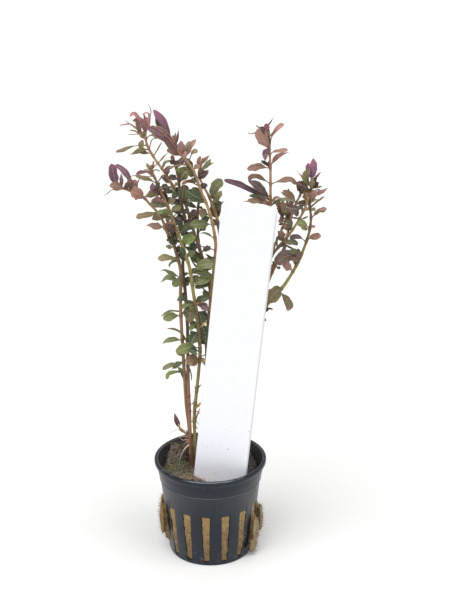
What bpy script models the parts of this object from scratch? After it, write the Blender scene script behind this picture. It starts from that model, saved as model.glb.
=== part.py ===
"""Potted rotala rotundifolia: leafy stems in rockwool, in a black net pot with a plain plant label.

Metres, +Z up. The origin is the centre of the pot's flat underside, and -Y is the front.
"""

import math

import bmesh
import bpy
from mathutils import Euler, Matrix, Vector

MM = 0.001
GAP = 0.0003

# Net pot
POT_HEIGHT = 0.0467
RIM_RADIUS = 0.0260
RIM_INNER_RADIUS = 0.0243
LIP_HEIGHT = 0.0024
BAND_RADIUS_TOP = 0.0249
BAND_RADIUS_FOOT = 0.0237
BAND_FOOT = 0.0369
WALL_RADIUS_TOP = 0.0233
WALL_RADIUS_FOOT = 0.0195
WALL = 0.0009
FLOOR = 0.0012
EDGE = 0.0003
POT_SIDES = 28

SLOTS = 15
SLOT_PITCH = 2 * math.pi / SLOTS
SLOT_TURN = math.radians(-4.6)
SLOT_FOOT = 0.0020
SLOT_TOP = 0.0270
SLOT_WIDTH_FOOT = 0.0028
SLOT_WIDTH_TOP = 0.0043
SLOT_DEPTH = 0.0120
DRAINS = 5
DRAIN_RADIUS = 0.0105
DRAIN_SIZE = (0.0070, 0.0024)

# Rockwool
WOOL_SIDES = 24
WOOL_TOP = 0.0408
WOOL_SHOULDER = 0.0348
WOOL_SLACK = 0.0005
# Mounds and hollows of the wool's top: x, y, how far up or down, and how wide, all in millimetres.
WOOL_MOUNDS = (
    (-19, 11, 6.6, 5.2), (-12, 17, 6.2, 5.8), (-14, -5, 2.0, 6), (-10, -16, 3.8, 5.5),
    (9, -16, -1.6, 8), (19, 8, 2.6, 6), (12, 17, 1.6, 6),
)
# How far the wool stands out of each slot past the wall, in millimetres. The first slot is the one
# nearest the front, and the rest go round towards the right.
SLOT_BULGES = (0.5, 0.6, 1.4, 2.6, 3.0, 1.4, 1.0, 0.8, 0.8, 1.0, 1.4, 2.2, 2.4, 0.8, 0.6)
BULGE_HALF_HEIGHT = 0.0110
BULGE_ROOT = 0.0040
# Tufts lie outside the wall: slot, height, how far out, half width, half height, half depth.
WOOL_TUFTS = (
    (2.9, 5.4, 2.1, 4.4, 4.2, 1.5),
    (3, 13.5, 2.0, 3.4, 6.5, 1.3),
    (4, 14, 2.4, 3.6, 7.6, 1.6),
    (11, 18, 1.8, 3.2, 7.0, 1.3),
    (12, 17, 2.0, 3.2, 8.6, 1.3),
)

# Plant label
LABEL_SIZE = (0.0240, 0.0005, 0.1351)
LABEL_CORNER = 0.0026
LABEL_FOOT = (0.0040, -0.0128, 0.0365)
LABEL_LEAN = math.radians(5.7)
LABEL_BACK = math.radians(2)
LABEL_YAW = math.radians(-6.4)
LABEL_SLIT = 0.0300

# Stems and leaves
STEM_RADIUS = 0.00075
STEM_TIP_RADIUS = 0.00045
ROOTED = 0.0060
SOCKET_HEIGHT = 0.0060
CLEARANCE = 0.00115
STEM_ROUND = 1
LEAF_THICKNESS = 0.00050
LEAF_CUP = 0.22
SMALL_LEAF = 0.0090
OUTLINE_SHIFT = 1.15
OUTLINE_FULL = 0.50
END_OF_LEAF = 0.001

# The plant is laid out on a picture 470 pixels wide and 596 high. The eye that it is seen from
# stands here, looking along +Y and down by the pitch.
EYE = Vector((0.0115, -0.4960, 0.3045))
EYE_PITCH = math.radians(19.9)
FOCAL_PIXELS = 1190
CENTRE_PIXEL = (235, 298)

# Each stem's route runs from its tip to its foot in the wool: across and down the picture in
# pixels, then depth behind the pot's axis in millimetres.
# Each leaf has the row of its foot on the stem, its tip across and down, how far the tip is
# behind the foot (mm), its width (mm), its face (0 looks up, 90 looks to the front), its arch as
# a share of its length, and its colour. "leaves" are nodes of their own; "sprigs" grow as one
# piece with the stem.
STEMS = {
    "stem_tall_left": {
        "route": (
            (144.7, 130, 10), (147, 144.6, 10), (154, 157.6, 10), (163.9, 171.6, 9.5), (174.6, 188.6, 9),
            (185.4, 204.6, 8.5), (190, 218.5, 8), (198, 245, 7.5), (203.6, 261.6, 7), (209.5, 285, 7),
            (212.5, 330, 7), (209, 380, 6.5), (205.5, 430, 6), (203, 461, 5.5),
        ),
        "colour": "tan",
        "leaves": (
            (145, 115.5, 151.8, -3, 3.0, 25, 0.08, "olive"),
            (153, 128.7, 154.5, 3, 3.7, 40, 0.15, "olive"),
        ),
        "sprigs": (
            (163, 168, 152, -3, 2.5, 50, -0.10, "brown"),
            (134, 138, 120, -1, 2.5, 70, 0.05, "brown"),
            (133.5, 119.3, 125, 2, 1.4, 30, 0.10, "pink"),
            (132.4, 129.8, 116, -2, 2.1, 50, 0.20, "pink"),
            (131, 148, 113, 0, 2.8, 60, 0.10, "pink"),
            (131.8, 150, 121, -2, 3.0, 50, 0.20, "pink"),
            (135, 130, 130.4, -3, 1.8, 40, 0.10, "pink"),
            (136.5, 128.2, 134.6, 3, 1.6, 20, 0.10, "brown"),
            (150, 141.2, 140.2, -2, 2.5, 70, 0.0, "olive"),
            (139, 156.3, 137, 2, 1.6, 30, 0.25, "olive"),
            (148, 157.7, 138.4, -2, 1.6, 40, 0.20, "brown"),
            (156, 161.7, 142, 3, 1.4, 30, 0.0, "brown"),
            (174, 169.5, 167.6, -2, 1.6, 40, 0.0, "dark"),
            (210, 197.5, 205, -3, 2.3, 50, 0.10, "dark"),
            (217, 197, 210, 2, 2.8, 50, 0.10, "brown"),
            (250, 190.5, 246, 1, 2.8, 50, 0.10, "dark"),
            (265, 188, 248, -3, 5.3, 50, 0.10, "dark"),
            (283, 198, 273, -2, 3.2, 50, 0.10, "dark"),
        ),
    },
    "stem_tall_purple": {
        "route": (
            (172, 137, -13), (176.4, 148, -12.5), (181.8, 155, -12), (192, 168, -10), (196.5, 179, -8.5),
            (202, 193.5, -6.5), (207.7, 207, -4.5), (213, 226, -2.5), (215.7, 246, -1), (214.4, 264, 0),
            (211, 297, 1), (207.6, 328.6, 1.5), (206.5, 348, 1.5), (206.5, 390, 1.5), (205.5, 430, 1.5),
            (204, 463, 2),
        ),
        "colour": "orange",
        "leaves": (
            (139, 152.5, 109, 1, 3.4, 55, 0.08, "purple"),
            (150, 146.5, 126, -4, 4.8, 50, 0.10, "plum"),
            (224, 190.3, 224.8, -4, 4.4, 50, 0.12, "green"),
            (201, 186.5, 190.5, -5.5, 4.4, 50, 0.10, "olive"),
        ),
        "sprigs": (
            (158, 195.4, 138.8, 3, 2.5, 60, 0.05, "brown"),
            (141, 178.7, 128.6, 1, 1.4, 60, 0.0, "pink"),
            (140, 173, 129, -1, 1.8, 60, 0.0, "pink"),
            (152, 181, 140, -2, 3.0, 60, 0.0, "pink"),
            (153, 189.4, 141, 2, 1.6, 50, 0.0, "green"),
            (162, 197.4, 150, 1, 2.1, 50, 0.10, "green"),
            (159, 186, 151, -3, 1.6, 60, 0.0, "pink"),
            (156, 167, 149.6, 3, 2.3, 40, 0.10, "olive"),
            (185, 181.8, 184, -3, 1.6, 40, 0.30, "brown"),
            (204, 188, 200.5, 2, 2.1, 30, 0.05, "olive"),
            (217, 199.6, 213, -1, 3.2, 50, 0.10, "olive"),
            (238, 200, 233.3, -1, 1.5, 40, 0.10, "green"),
            (252, 199.6, 245.4, -2, 1.5, 40, 0.10, "green"),
            (258, 206.3, 254.7, -3, 2.8, 50, 0.0, "dark"),
        ),
    },
    "stem_behind_purple": {
        "route": (
            (203, 158, 14), (200, 168, 13.5), (199, 176, 13), (204.5, 188, 12), (209, 196.6, 11),
            (216, 215, 10), (218.5, 228, 9.5), (222, 260, 9), (222, 320, 8.5), (218, 380, 8),
            (213, 430, 7.5), (209.5, 460, 7),
        ),
        "colour": "tan",
        "leaves": (
            (199, 221, 181, -3, 3.9, 60, 0.10, "olive"),
            (219, 222.3, 201, 6, 5.1, 65, 0.10, "dark"),
        ),
        "sprigs": (
            (160, 201, 154, 0, 1.5, 60, 0.0, "green"),
            (163, 209, 155.8, 2, 1.3, 50, 0.0, "pink"),
            (168, 212, 161, -2, 1.7, 50, 0.05, "green"),
            (172, 207.7, 163.6, 3, 1.4, 50, 0.0, "pink"),
            (178, 208.6, 170.3, -2, 1.5, 50, 0.0, "brown"),
            (219, 219.5, 231, -2, 1.6, 60, 0.0, "brown"),
        ),
    },
    "stem_brown_back": {
        "route": (
            (198.3, 202, 17), (198, 215, 16.5), (197.9, 230, 16), (199, 244, 15.5), (204.5, 265, 14.5),
            (211, 290, 13.5), (214, 330, 12.5), (213, 380, 11.5), (211, 430, 10.8), (209, 457, 10.5),
        ),
        "colour": "brown",
        "leaves": (),
        "sprigs": (
            (206, 192, 196, 3, 2.3, 50, 0.05, "dark"),
            (205, 204, 197, -2, 2.3, 50, 0.05, "olive"),
            (226, 206, 222, 3, 2.8, 50, 0.10, "dark"),
        ),
    },
    "stem_far_left": {
        "route": (
            (116, 187, -15), (123.8, 188.6, -14), (131.8, 191.3, -13), (143, 197, -11), (149.6, 204, -9.5),
            (156.3, 211, -8), (162.5, 220.5, -6.5), (168, 234, -5), (174, 245.5, -3.5), (180.8, 272, -2),
            (180.4, 297, -1.2), (181.3, 324, -1), (184.4, 375, -0.2), (186.2, 404.6, 1.4), (188.6, 424, 2.6),
            (190.2, 445, 3.2), (191.5, 461, 3.5),
        ),
        "colour": "olive",
        "leaves": (
            (187, 111.5, 163.5, 1, 4.8, 70, 0.05, "purple"),
            (191, 115.3, 164.5, 5, 2.8, 60, 0.08, "purple"),
            (198, 130, 198.5, -5, 5.1, 60, 0.10, "brown"),
            (227, 145.2, 226.5, -2, 3.3, 50, 0.10, "pink"),
            (257, 158, 258.3, -3, 3.9, 50, 0.12, "green"),
            (280, 160.4, 283, 2, 3.0, 45, 0.15, "green"),
            (316, 163.2, 318.5, -2, 3.9, 50, 0.15, "green"),
            (340, 161.4, 344.8, -1, 2.8, 45, 0.15, "green"),
            (363, 166, 370, -3, 3.2, 45, 0.15, "green"),
            (372, 166.5, 379.2, 3, 2.5, 45, 0.20, "lime"),
        ),
        "sprigs": (
            (188.3, 121, 173.4, 1, 1.4, 60, 0.0, "plum"),
            (190, 126, 182, -2, 2.1, 50, 0.1, "dark"),
            (191, 134, 179, 2, 2.8, 60, 0.1, "brown"),
            (194.5, 139.5, 178, -1, 1.8, 60, 0.05, "olive"),
            (198, 151, 190.8, 2, 1.8, 40, 0.05, "olive"),
            (246, 166, 246, 2, 2.3, 50, 0.05, "lime"),
            (261, 169.3, 266.3, 3, 2.3, 50, 0.20, "dark"),
            (276, 160.4, 271.7, -2, 1.8, 45, 0.10, "green"),
            (277, 174, 286.5, -3, 3.4, 60, 0.10, "green"),
            (434, 174.4, 413.4, -4, 2.8, 70, 0.06, "plum"),
        ),
    },
    "stem_red_middle": {
        "route": (
            (173.5, 159, 3), (176, 167.6, 2.5), (178.2, 178.8, 2), (182.2, 207, 1), (185.4, 221, 1),
            (184.6, 240, 1.5), (183.6, 256, 1.8), (182.9, 268, 2), (185.7, 297, 1.6), (187.5, 328.6, 1),
            (187.9, 366, 0.5), (188.4, 388.6, -0.8), (189.5, 410, -1), (190, 429, -1), (190.6, 445.7, -1),
            (192.2, 460, -1), (193, 467, -1),
        ),
        "colour": "red",
        "leaves": (
            (184, 190, 168, 3, 4.1, 55, 0.10, "green"),
            (203, 186, 186, -4, 3.9, 65, 0.05, "dark"),
        ),
        "sprigs": (
            (161, 172, 154, 0, 1.8, 60, 0.0, "pink"),
            (166, 169.5, 161.5, 0, 2.1, 60, 0.0, "dark"),
            (168, 186, 165, -2, 1.6, 40, 0.20, "olive"),
            (169, 167.5, 166, 2, 1.6, 40, 0.15, "olive"),
            (318, 161.2, 316.5, 4, 1.4, 30, 0.15, "green"),
            (342, 167.4, 329, 4, 1.4, 40, 0.25, "olive"),
        ),
    },
    "stem_olive_front": {
        "route": (
            (151.2, 165, -9), (152.3, 172.5, -9), (157.7, 184, -8.5), (167.5, 205.5, -7.5), (171, 213.6, -7),
            (176.4, 229, -6.5), (181.3, 242.7, -6), (189.8, 268.6, -5), (193, 290.6, -4.5), (196.4, 313, -4),
            (200, 348, -3), (198.7, 370.7, -2.5), (196.4, 393, -1.5), (194.4, 414, -0.5), (195, 445, 1),
            (195.4, 460, 1.5),
        ),
        "colour": "olive",
        "leaves": (
            (211, 135.8, 216.7, 6, 2.6, 40, 0.12, "olive"),
            (244, 195.6, 235.5, -2, 3.9, 50, 0.15, "lime"),
            (234, 190.5, 223, -3, 4.6, 55, 0.10, "dark"),
            (272, 214, 261.5, -2, 3.9, 50, 0.10, "green"),
            (346, 176, 351, -4, 5.1, 45, 0.10, "green"),
        ),
        "sprigs": (
            (308, 188, 322, -4, 3.4, 60, 0.10, "dark"),
            (168, 153.7, 160, 0, 1.8, 60, 0.0, "pink"),
            (169, 146.5, 163, -1, 2.1, 60, 0.0, "olive"),
            (173, 135.8, 173.4, 2, 2.1, 40, 0.10, "olive"),
            (182, 135.8, 175.6, -3, 2.3, 50, 0.10, "pink"),
            (188, 168, 185.5, 3, 2.5, 50, 0.05, "dark"),
            (192, 167, 190.5, -2, 2.1, 40, 0.05, "brown"),
            (190, 151.5, 183.5, -2, 2.1, 50, 0.05, "purple"),
            (198, 150.5, 193, 2, 2.1, 50, 0.05, "olive"),
            (202, 156, 196, -3, 2.5, 50, 0.05, "pink"),
            (207, 154, 204, 3, 2.3, 50, 0.05, "olive"),
            (215, 153.2, 219, -5, 2.1, 50, 0.10, "olive"),
            (212, 178, 208, 3, 3.4, 50, 0.05, "green"),
            (230, 166, 224, -4, 4.1, 55, 0.05, "dark"),
            (243, 168, 238, 10, 3.2, 55, 0.10, "dark"),
            (303, 177.2, 300.4, -3, 2.1, 40, 0.30, "dark"),
            (302, 210, 297, -2, 3.0, 50, 0.10, "dark"),
            (306, 208.9, 315, -3, 2.3, 50, 0.40, "plum"),
            (323, 189, 330, -2, 2.8, 50, 0.10, "green"),
            (330, 192, 344, -3, 3.0, 60, 0.05, "dark"),
            (322, 205.5, 341, 2, 3.2, 60, 0.05, "dark"),
            (326, 207.5, 320, 0, 1.6, 50, 0.0, "lime"),
            (284, 212, 276, 2, 3.4, 50, 0.10, "green"),
            (358, 187, 363, -3, 3.7, 50, 0.10, "brown"),
        ),
    },
    "stem_right_tall": {
        "route": (
            (268.6, 131, 5), (269.5, 150, 5), (270.4, 168, 5), (270.4, 198, 4.5), (269, 215, 4.5),
            (267, 240, 4), (261, 300, 3.5), (250, 360, 3), (236, 420, 2.5), (225, 461, 2.5),
        ),
        "colour": "tan",
        "leaves": (
            (150, 259, 127.5, -3, 6.2, 70, 0.08, "pink"),
            (145, 283.5, 123.4, 3, 2.2, 60, -0.05, "pink"),
            (155, 287.7, 149, 3, 2.4, 45, 0.10, "olive"),
            (165, 288.6, 151.7, -2, 2.3, 50, 0.10, "olive"),
            (167.5, 247.4, 168.6, -2, 3.2, 45, 0.12, "brown"),
            (183, 248.7, 178.5, 3, 2.5, 45, 0.20, "brown"),
            (196, 248.3, 181, -3, 3.0, 50, 0.08, "dark"),
            (184, 296, 182, 2, 2.6, 45, 0.15, "olive"),
            (201, 224, 179.5, -3, 2.8, 50, -0.05, "purple"),
        ),
        "sprigs": (
            (133, 266.5, 123, 0, 2.1, 60, 0.0, "pink"),
            (133, 273.7, 117.4, 1, 1.1, 60, 0.0, "pink"),
            (149, 265.2, 161, -2, 2.2, 60, 0.0, "purple"),
            (141, 248.3, 131.5, 2, 1.4, 50, 0.10, "pink"),
            (137, 257, 125.6, 1, 1.4, 50, 0.0, "pink"),
            (206, 243.4, 201.3, 1, 2.5, 45, 0.12, "olive"),
            (199, 250, 194, 5, 1.8, 45, 0.10, "dark"),
            (204, 276.4, 197.5, -2, 1.6, 40, 0.20, "brown"),
        ),
    },
    "stem_right_upper": {
        "route": (
            (300.7, 194.4, 10), (295.4, 205, 9.5), (290, 222, 9), (285.4, 243.6, 8), (281.4, 253, 7.5),
            (275, 266, 7), (265, 290, 6.5), (252, 330, 6.3), (241, 370, 6.3), (230, 420, 6.5),
            (220.5, 458, 7),
        ),
        "colour": "tan",
        "leaves": (
            (196, 301, 180.5, -1, 4.4, 65, 0.05, "brown"),
        ),
        "sprigs": (
            (197, 296.7, 170.7, 2, 1.6, 50, 0.10, "olive"),
            (204, 306, 200, 2, 2.3, 40, 0.10, "dark"),
            (270, 281, 263, -2, 2.3, 50, 0.0, "dark"),
        ),
    },
    "stem_right_middle": {
        "route": (
            (308.3, 197, -10), (305, 208, -9), (297, 223, -7.5), (287.7, 236.4, -6), (279.2, 246.3, -5),
            (271, 258, -4), (259, 290, -2.5), (247, 330, -1), (236, 380, 0.3), (226, 430, 1.7),
            (217.5, 463, 2.5),
        ),
        "colour": "brown",
        "leaves": (),
        "sprigs": (
            (240, 277.5, 232, -2, 3.2, 50, 0.05, "brown"),
            (226, 298, 228, -3, 2.3, 45, 0.05, "dark"),
            (212, 296, 207, -3, 2.1, 45, 0.05, "brown"),
        ),
    },
    "stem_right_inner": {
        "route": (
            (287, 192, 18), (287.2, 205, 17.5), (286.3, 219, 17), (281, 231, 16), (273, 250, 15),
            (262, 285, 14), (250, 330, 13), (238, 380, 12.3), (226, 430, 11.8), (217.5, 455, 11.5),
        ),
        "colour": "brown",
        "leaves": (),
        "sprigs": (
            (196, 294.5, 188.5, -2, 3.0, 50, 0.05, "olive"),
            (197, 279.5, 191, -3, 2.8, 50, 0.05, "brown"),
            (209, 275.5, 203, -3, 3.4, 50, 0.10, "brown"),
            (209, 295.5, 203, 2, 3.4, 50, 0.10, "olive"),
            (219, 277, 211.5, 1, 3.4, 50, 0.10, "olive"),
            (220, 294, 214, -2, 3.0, 50, 0.10, "brown"),
            (227, 278, 221, 2, 2.8, 50, 0.05, "brown"),
        ),
    },
    "stem_right_outer": {
        "route": (
            (312, 178, 6), (311, 190, 5.5), (309.6, 204.6, 5), (311, 218, 4), (309, 233, 3), (303.3, 250, 2),
            (296.6, 265, 1), (288.6, 278.8, 0), (281.3, 289, -0.8), (272, 299, -1.4), (262, 313, -2),
            (250, 345, -3), (238, 385, -3.5), (229, 430, -3), (222, 464, -2.5),
        ),
        "colour": "tan",
        "leaves": (
            (180, 313, 159, -1, 3.9, 65, 0.05, "purple"),
            (195, 328, 186.8, 3, 2.2, 45, 0.10, "pink"),
            (203, 304, 189, 1, 3.4, 55, 0.10, "brown"),
            (217, 326.6, 209, 2, 2.5, 45, 0.10, "green"),
            (228, 297.5, 223.5, 3, 3.0, 50, 0.10, "green"),
            (237, 320.7, 235, -1, 2.9, 50, 0.10, "brown"),
            (257, 276, 264.5, -5, 5.3, 55, 0.08, "plum"),
            (287, 267.3, 303.5, -5, 5.3, 60, 0.10, "olive"),
            (290, 288, 311, 3, 3.7, 60, 0.05, "brown"),
        ),
        "sprigs": (
            (274, 283.2, 262, -3, 3.2, 55, 0.05, "brown"),
            (208, 323.9, 197, -3, 1.7, 45, 0.05, "olive"),
            (187, 309, 168.5, -3, 2.8, 60, 0.05, "olive"),
            (190, 315, 177, -3, 2.3, 60, 0.0, "olive"),
            (182, 320.8, 171.5, 2, 1.6, 50, 0.0, "purple"),
            (188, 321.7, 185, -3, 1.4, 40, 0.10, "dark"),
            (227, 316.4, 225.5, 2, 1.8, 50, 0.05, "pink"),
            (241, 290.4, 237, 3, 2.6, 50, 0.10, "brown"),
            (247, 287, 241.5, -2, 2.8, 50, 0.10, "dark"),
            (254, 289, 247, 2, 1.6, 40, 0.10, "green"),
            (305, 264.5, 312, -2, 2.1, 50, 0.0, "brown"),
        ),
    },
}

# A small side shoot on the far left stem, and a pale root that hangs from its foot.
SIDE_SHOOT = ((189.3, 436.5, 2.5), (184, 432, 0.5), (180.5, 428.5, -1), (178.5, 424, -1.5))
SIDE_SHOOT_RADIUS = 0.0005
PALE_ROOT = ((186.6, 447.0, 1.0), (182.3, 453, 2.6), (179.6, 460.3, 4.0))
ROOT_RADIUS = 0.00045

COLOURS = {
    "pot": (0.018, 0.021, 0.026),
    "wool": (0.22, 0.14, 0.055),
    "label": (0.78, 0.79, 0.83),
    "root": (0.60, 0.55, 0.47),
    "tan": (0.24, 0.14, 0.06),
    "orange": (0.28, 0.13, 0.05),
    "red": (0.26, 0.09, 0.06),
    "brown": (0.15, 0.075, 0.05),
    "olive": (0.17, 0.15, 0.05),
    "green": (0.09, 0.14, 0.045),
    "lime": (0.14, 0.22, 0.05),
    "dark": (0.04, 0.055, 0.025),
    "pink": (0.33, 0.14, 0.14),
    "purple": (0.22, 0.08, 0.15),
    "plum": (0.12, 0.055, 0.07),
}
FINISH = {"pot": 0.38, "label": 0.45, "wool": 0.95}
LEAF_FINISH = 0.50


def start_scene():
    """Clears the scene and makes the collections for the object and for its cutters."""
    for obj in list(bpy.data.objects):
        bpy.data.objects.remove(obj, do_unlink=True)
    made = []
    for name in ("potted_rotala", "cutters"):
        collection = bpy.data.collections.new(name)
        bpy.context.scene.collection.children.link(collection)
        made.append(collection)
    return made


PARTS, CUTTERS = start_scene()


def finish_of(colour):
    """The material of this colour, made the first time it is asked for."""
    material = bpy.data.materials.get(colour)
    if material is None:
        material = bpy.data.materials.new(colour)
        material.use_nodes = True
        shader = material.node_tree.nodes["Principled BSDF"]
        shader.inputs["Base Color"].default_value = (*COLOURS[colour], 1)
        shader.inputs["Roughness"].default_value = FINISH.get(colour, LEAF_FINISH)
    return material


def add_part(name, data, colour):
    part = bpy.data.objects.new(name, data)
    PARTS.objects.link(part)
    data.materials.append(finish_of(colour))
    return part


def add_helper(name, data):
    """An object that only cuts or joins others."""
    helper = bpy.data.objects.new(name, data)
    CUTTERS.objects.link(helper)
    helper.hide_render = True
    helper.display_type = "WIRE"
    return helper


def to_mesh_data(name, shape):
    """The bmesh as mesh data."""
    data = bpy.data.meshes.new(name)
    shape.to_mesh(data)
    shape.free()
    return data


def combine(target, helper, operation):
    boolean = target.modifiers.new(helper.name, "BOOLEAN")
    boolean.operation = operation
    boolean.object = helper


def place(across, down, depth):
    """The point seen at this pixel of the picture, this many millimetres behind the pot's axis."""
    ray = Vector((across - CENTRE_PIXEL[0], FOCAL_PIXELS, CENTRE_PIXEL[1] - down))
    ray.rotate(Euler((-EYE_PITCH, 0, 0)))
    return EYE + ray * ((depth * MM - EYE.y) / ray.y)


def wall_radius(height):
    """The outer radius of the pot's tapered wall at this height."""
    return WALL_RADIUS_FOOT + (WALL_RADIUS_TOP - WALL_RADIUS_FOOT) * height / BAND_FOOT


def slot_angle(index):
    """The direction of a slot about the pot's axis: the first is nearest the front."""
    return -math.pi / 2 + SLOT_TURN + index * SLOT_PITCH


def pot_profile():
    """The pot's section, from the middle of its floor up the inside, over the rim and down the outside."""
    lip_foot = POT_HEIGHT - LIP_HEIGHT
    inner_foot = wall_radius(FLOOR) - WALL
    inner_top = WALL_RADIUS_TOP - WALL
    return (
        (0, FLOOR),
        (inner_foot, FLOOR),
        (inner_top, BAND_FOOT - EDGE),
        (BAND_RADIUS_FOOT - WALL, BAND_FOOT + EDGE),
        (BAND_RADIUS_TOP - WALL, lip_foot),
        (RIM_INNER_RADIUS, POT_HEIGHT),
        (RIM_RADIUS - EDGE, POT_HEIGHT),
        (RIM_RADIUS, POT_HEIGHT - EDGE),
        (RIM_RADIUS, lip_foot),
        (BAND_RADIUS_TOP, lip_foot),
        (BAND_RADIUS_FOOT, BAND_FOOT),
        (WALL_RADIUS_TOP, BAND_FOOT - EDGE),
        (WALL_RADIUS_FOOT, EDGE),
        (WALL_RADIUS_FOOT - EDGE, 0),
        (0, 0),
    )


def slot_cutter():
    """A ring of wedges, wider at the top, that open the pot's wall, and boxes that open its floor."""
    shape = bmesh.new()
    for index in range(SLOTS):
        made = bmesh.ops.create_cube(shape, size=1)["verts"]
        turn = Matrix.Rotation(slot_angle(index), 4, "Z")
        for vert in made:
            top = vert.co.z > 0
            width = SLOT_WIDTH_TOP if top else SLOT_WIDTH_FOOT
            height = SLOT_TOP if top else SLOT_FOOT
            out = (WALL_RADIUS_FOOT + WALL_RADIUS_TOP) / 2 + SLOT_DEPTH * vert.co.x
            vert.co = turn @ Vector((out, width * vert.co.y, height))
    for index in range(DRAINS):
        made = bmesh.ops.create_cube(shape, size=1)["verts"]
        turn = Matrix.Rotation(slot_angle(SLOTS // DRAINS * index), 4, "Z")
        for vert in made:
            out = DRAIN_RADIUS + DRAIN_SIZE[0] * vert.co.x
            vert.co = turn @ Vector((out, DRAIN_SIZE[1] * vert.co.y, 4 * FLOOR * vert.co.z))
    return add_helper("slot_cutter", to_mesh_data("slot_cutter", shape))


def build_pot():
    data = bpy.data.meshes.new("net_pot")
    points = [(radius, 0, height) for radius, height in pot_profile()]
    data.from_pydata(points, [(i, i + 1) for i in range(len(points) - 1)], [])
    pot = add_part("net_pot", data, "pot")
    turned = pot.modifiers.new("turned", "SCREW")
    turned.steps = turned.render_steps = POT_SIDES
    turned.use_merge_vertices = True
    turned.merge_threshold = 0.00001
    turned.use_smooth_shade = False
    combine(pot, slot_cutter(), "DIFFERENCE")


def wool_height(x, y):
    """The height of the wool's uneven top: high on the left, low on the right."""
    height = WOOL_TOP + 0.0005 * math.sin(520 * x + 1.3) * math.sin(610 * y + 0.4)
    for mound_x, mound_y, rise, spread in WOOL_MOUNDS:
        away = math.hypot(x / MM - mound_x, y / MM - mound_y)
        height += rise * MM * math.exp(-((away / spread) ** 2))
    return height


def wool_core():
    """The plug inside the pot, from a sphere whose rings are laid along the plug's section."""
    foot = FLOOR + GAP
    shoulder = (WOOL_SHOULDER - foot) / (WOOL_TOP - foot)
    # How far out each ring is, as a share of the room in the pot, and how far up the plug.
    rings = (
        (0, 1),
        (0.30, 1),
        (0.55, 1),
        (0.78, 1),
        (1.0, 1),
        (1.0, shoulder),
        (1.0, 0.5),
        (1.0, 0),
        (0.5, 0),
        (0, 0),
    )
    shape = bmesh.new()
    bmesh.ops.create_uvsphere(shape, u_segments=WOOL_SIDES, v_segments=len(rings) - 1, radius=1)
    for vert in shape.verts:
        share, level = rings[round(math.acos(max(-1, min(1, vert.co.z))) / math.pi * (len(rings) - 1))]
        around = math.atan2(vert.co.y, vert.co.x)
        height = foot + level * (WOOL_TOP - foot)
        radius = share * (wall_radius(min(height, BAND_FOOT)) - WALL - WOOL_SLACK)
        x = radius * math.cos(around)
        y = radius * math.sin(around)
        vert.co = (x, y, wool_height(x, y) if level == 1 else height)
    return to_mesh_data("rockwool", shape)


def oval(name, centre, turn, half_sizes, sides=4, rings=4):
    """An oval lump: half sizes are outward, sideways and upward, turned about the vertical."""
    shape = bmesh.new()
    bmesh.ops.create_uvsphere(shape, u_segments=sides, v_segments=rings, radius=1)
    spin = Matrix.Rotation(turn, 4, "Z")
    for vert in shape.verts:
        vert.co = spin @ Vector([half * part for half, part in zip(half_sizes, vert.co)]) + centre
    return add_helper(name, to_mesh_data(name, shape))


def slot_bulge(index):
    """The wool that fills one slot and stands out of it."""
    turn = slot_angle(index)
    height = (SLOT_FOOT + SLOT_TOP) / 2
    out = SLOT_BULGES[index] * MM
    half_out = (BULGE_ROOT + WALL + out) / 2
    radius = wall_radius(height) + out - half_out
    centre = Vector((radius * math.cos(turn), radius * math.sin(turn), height))
    half_width = (SLOT_WIDTH_FOOT + SLOT_WIDTH_TOP) / 4 - GAP
    return oval(f"bulge_{index}", centre, turn, (half_out, half_width, BULGE_HALF_HEIGHT))


def wool_tuft(slot, height, out, half_width, half_height, half_depth):
    turn = slot_angle(slot)
    radius = wall_radius(height * MM) + out * MM
    centre = Vector((radius * math.cos(turn), radius * math.sin(turn), height * MM))
    sizes = (half_depth * MM, half_width * MM, half_height * MM)
    return oval(f"tuft_{slot}", centre, turn, sizes, sides=6)


def label_place():
    """Where the label stands: its foot, its lean to the right and the back, and its turn about the vertical."""
    turn = Matrix.Rotation(LABEL_YAW, 4, "Z") @ Matrix.Rotation(-LABEL_BACK, 4, "X")
    return Matrix.Translation(LABEL_FOOT) @ turn @ Matrix.Rotation(LABEL_LEAN, 4, "Y")


def label_shape(name, sizes, corner):
    """A strip that stands on its foot, with rounded corners if corner is above zero."""
    shape = bmesh.new()
    bmesh.ops.create_cube(shape, size=1)
    for vert in shape.verts:
        vert.co = (sizes[0] * vert.co.x, sizes[1] * vert.co.y, sizes[2] * (vert.co.z + 0.5))
    if corner:
        across = [edge for edge in shape.edges if abs(edge.verts[0].co.y - edge.verts[1].co.y) > sizes[1] / 2]
        bmesh.ops.bevel(shape, geom=across, offset=corner, segments=4, profile=0.5, affect="EDGES")
    return to_mesh_data(name, shape)


def build_label():
    label = add_part("label", label_shape("label", LABEL_SIZE, LABEL_CORNER), "label")
    label.matrix_world = label_place()
    slit_sizes = (LABEL_SIZE[0] + 2 * GAP, LABEL_SIZE[1] + 2 * GAP, LABEL_SLIT)
    slit = add_helper("label_slit", label_shape("label_slit", slit_sizes, 0))
    slit.matrix_world = label_place() @ Matrix.Translation((0, 0, -GAP))
    return slit


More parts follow.
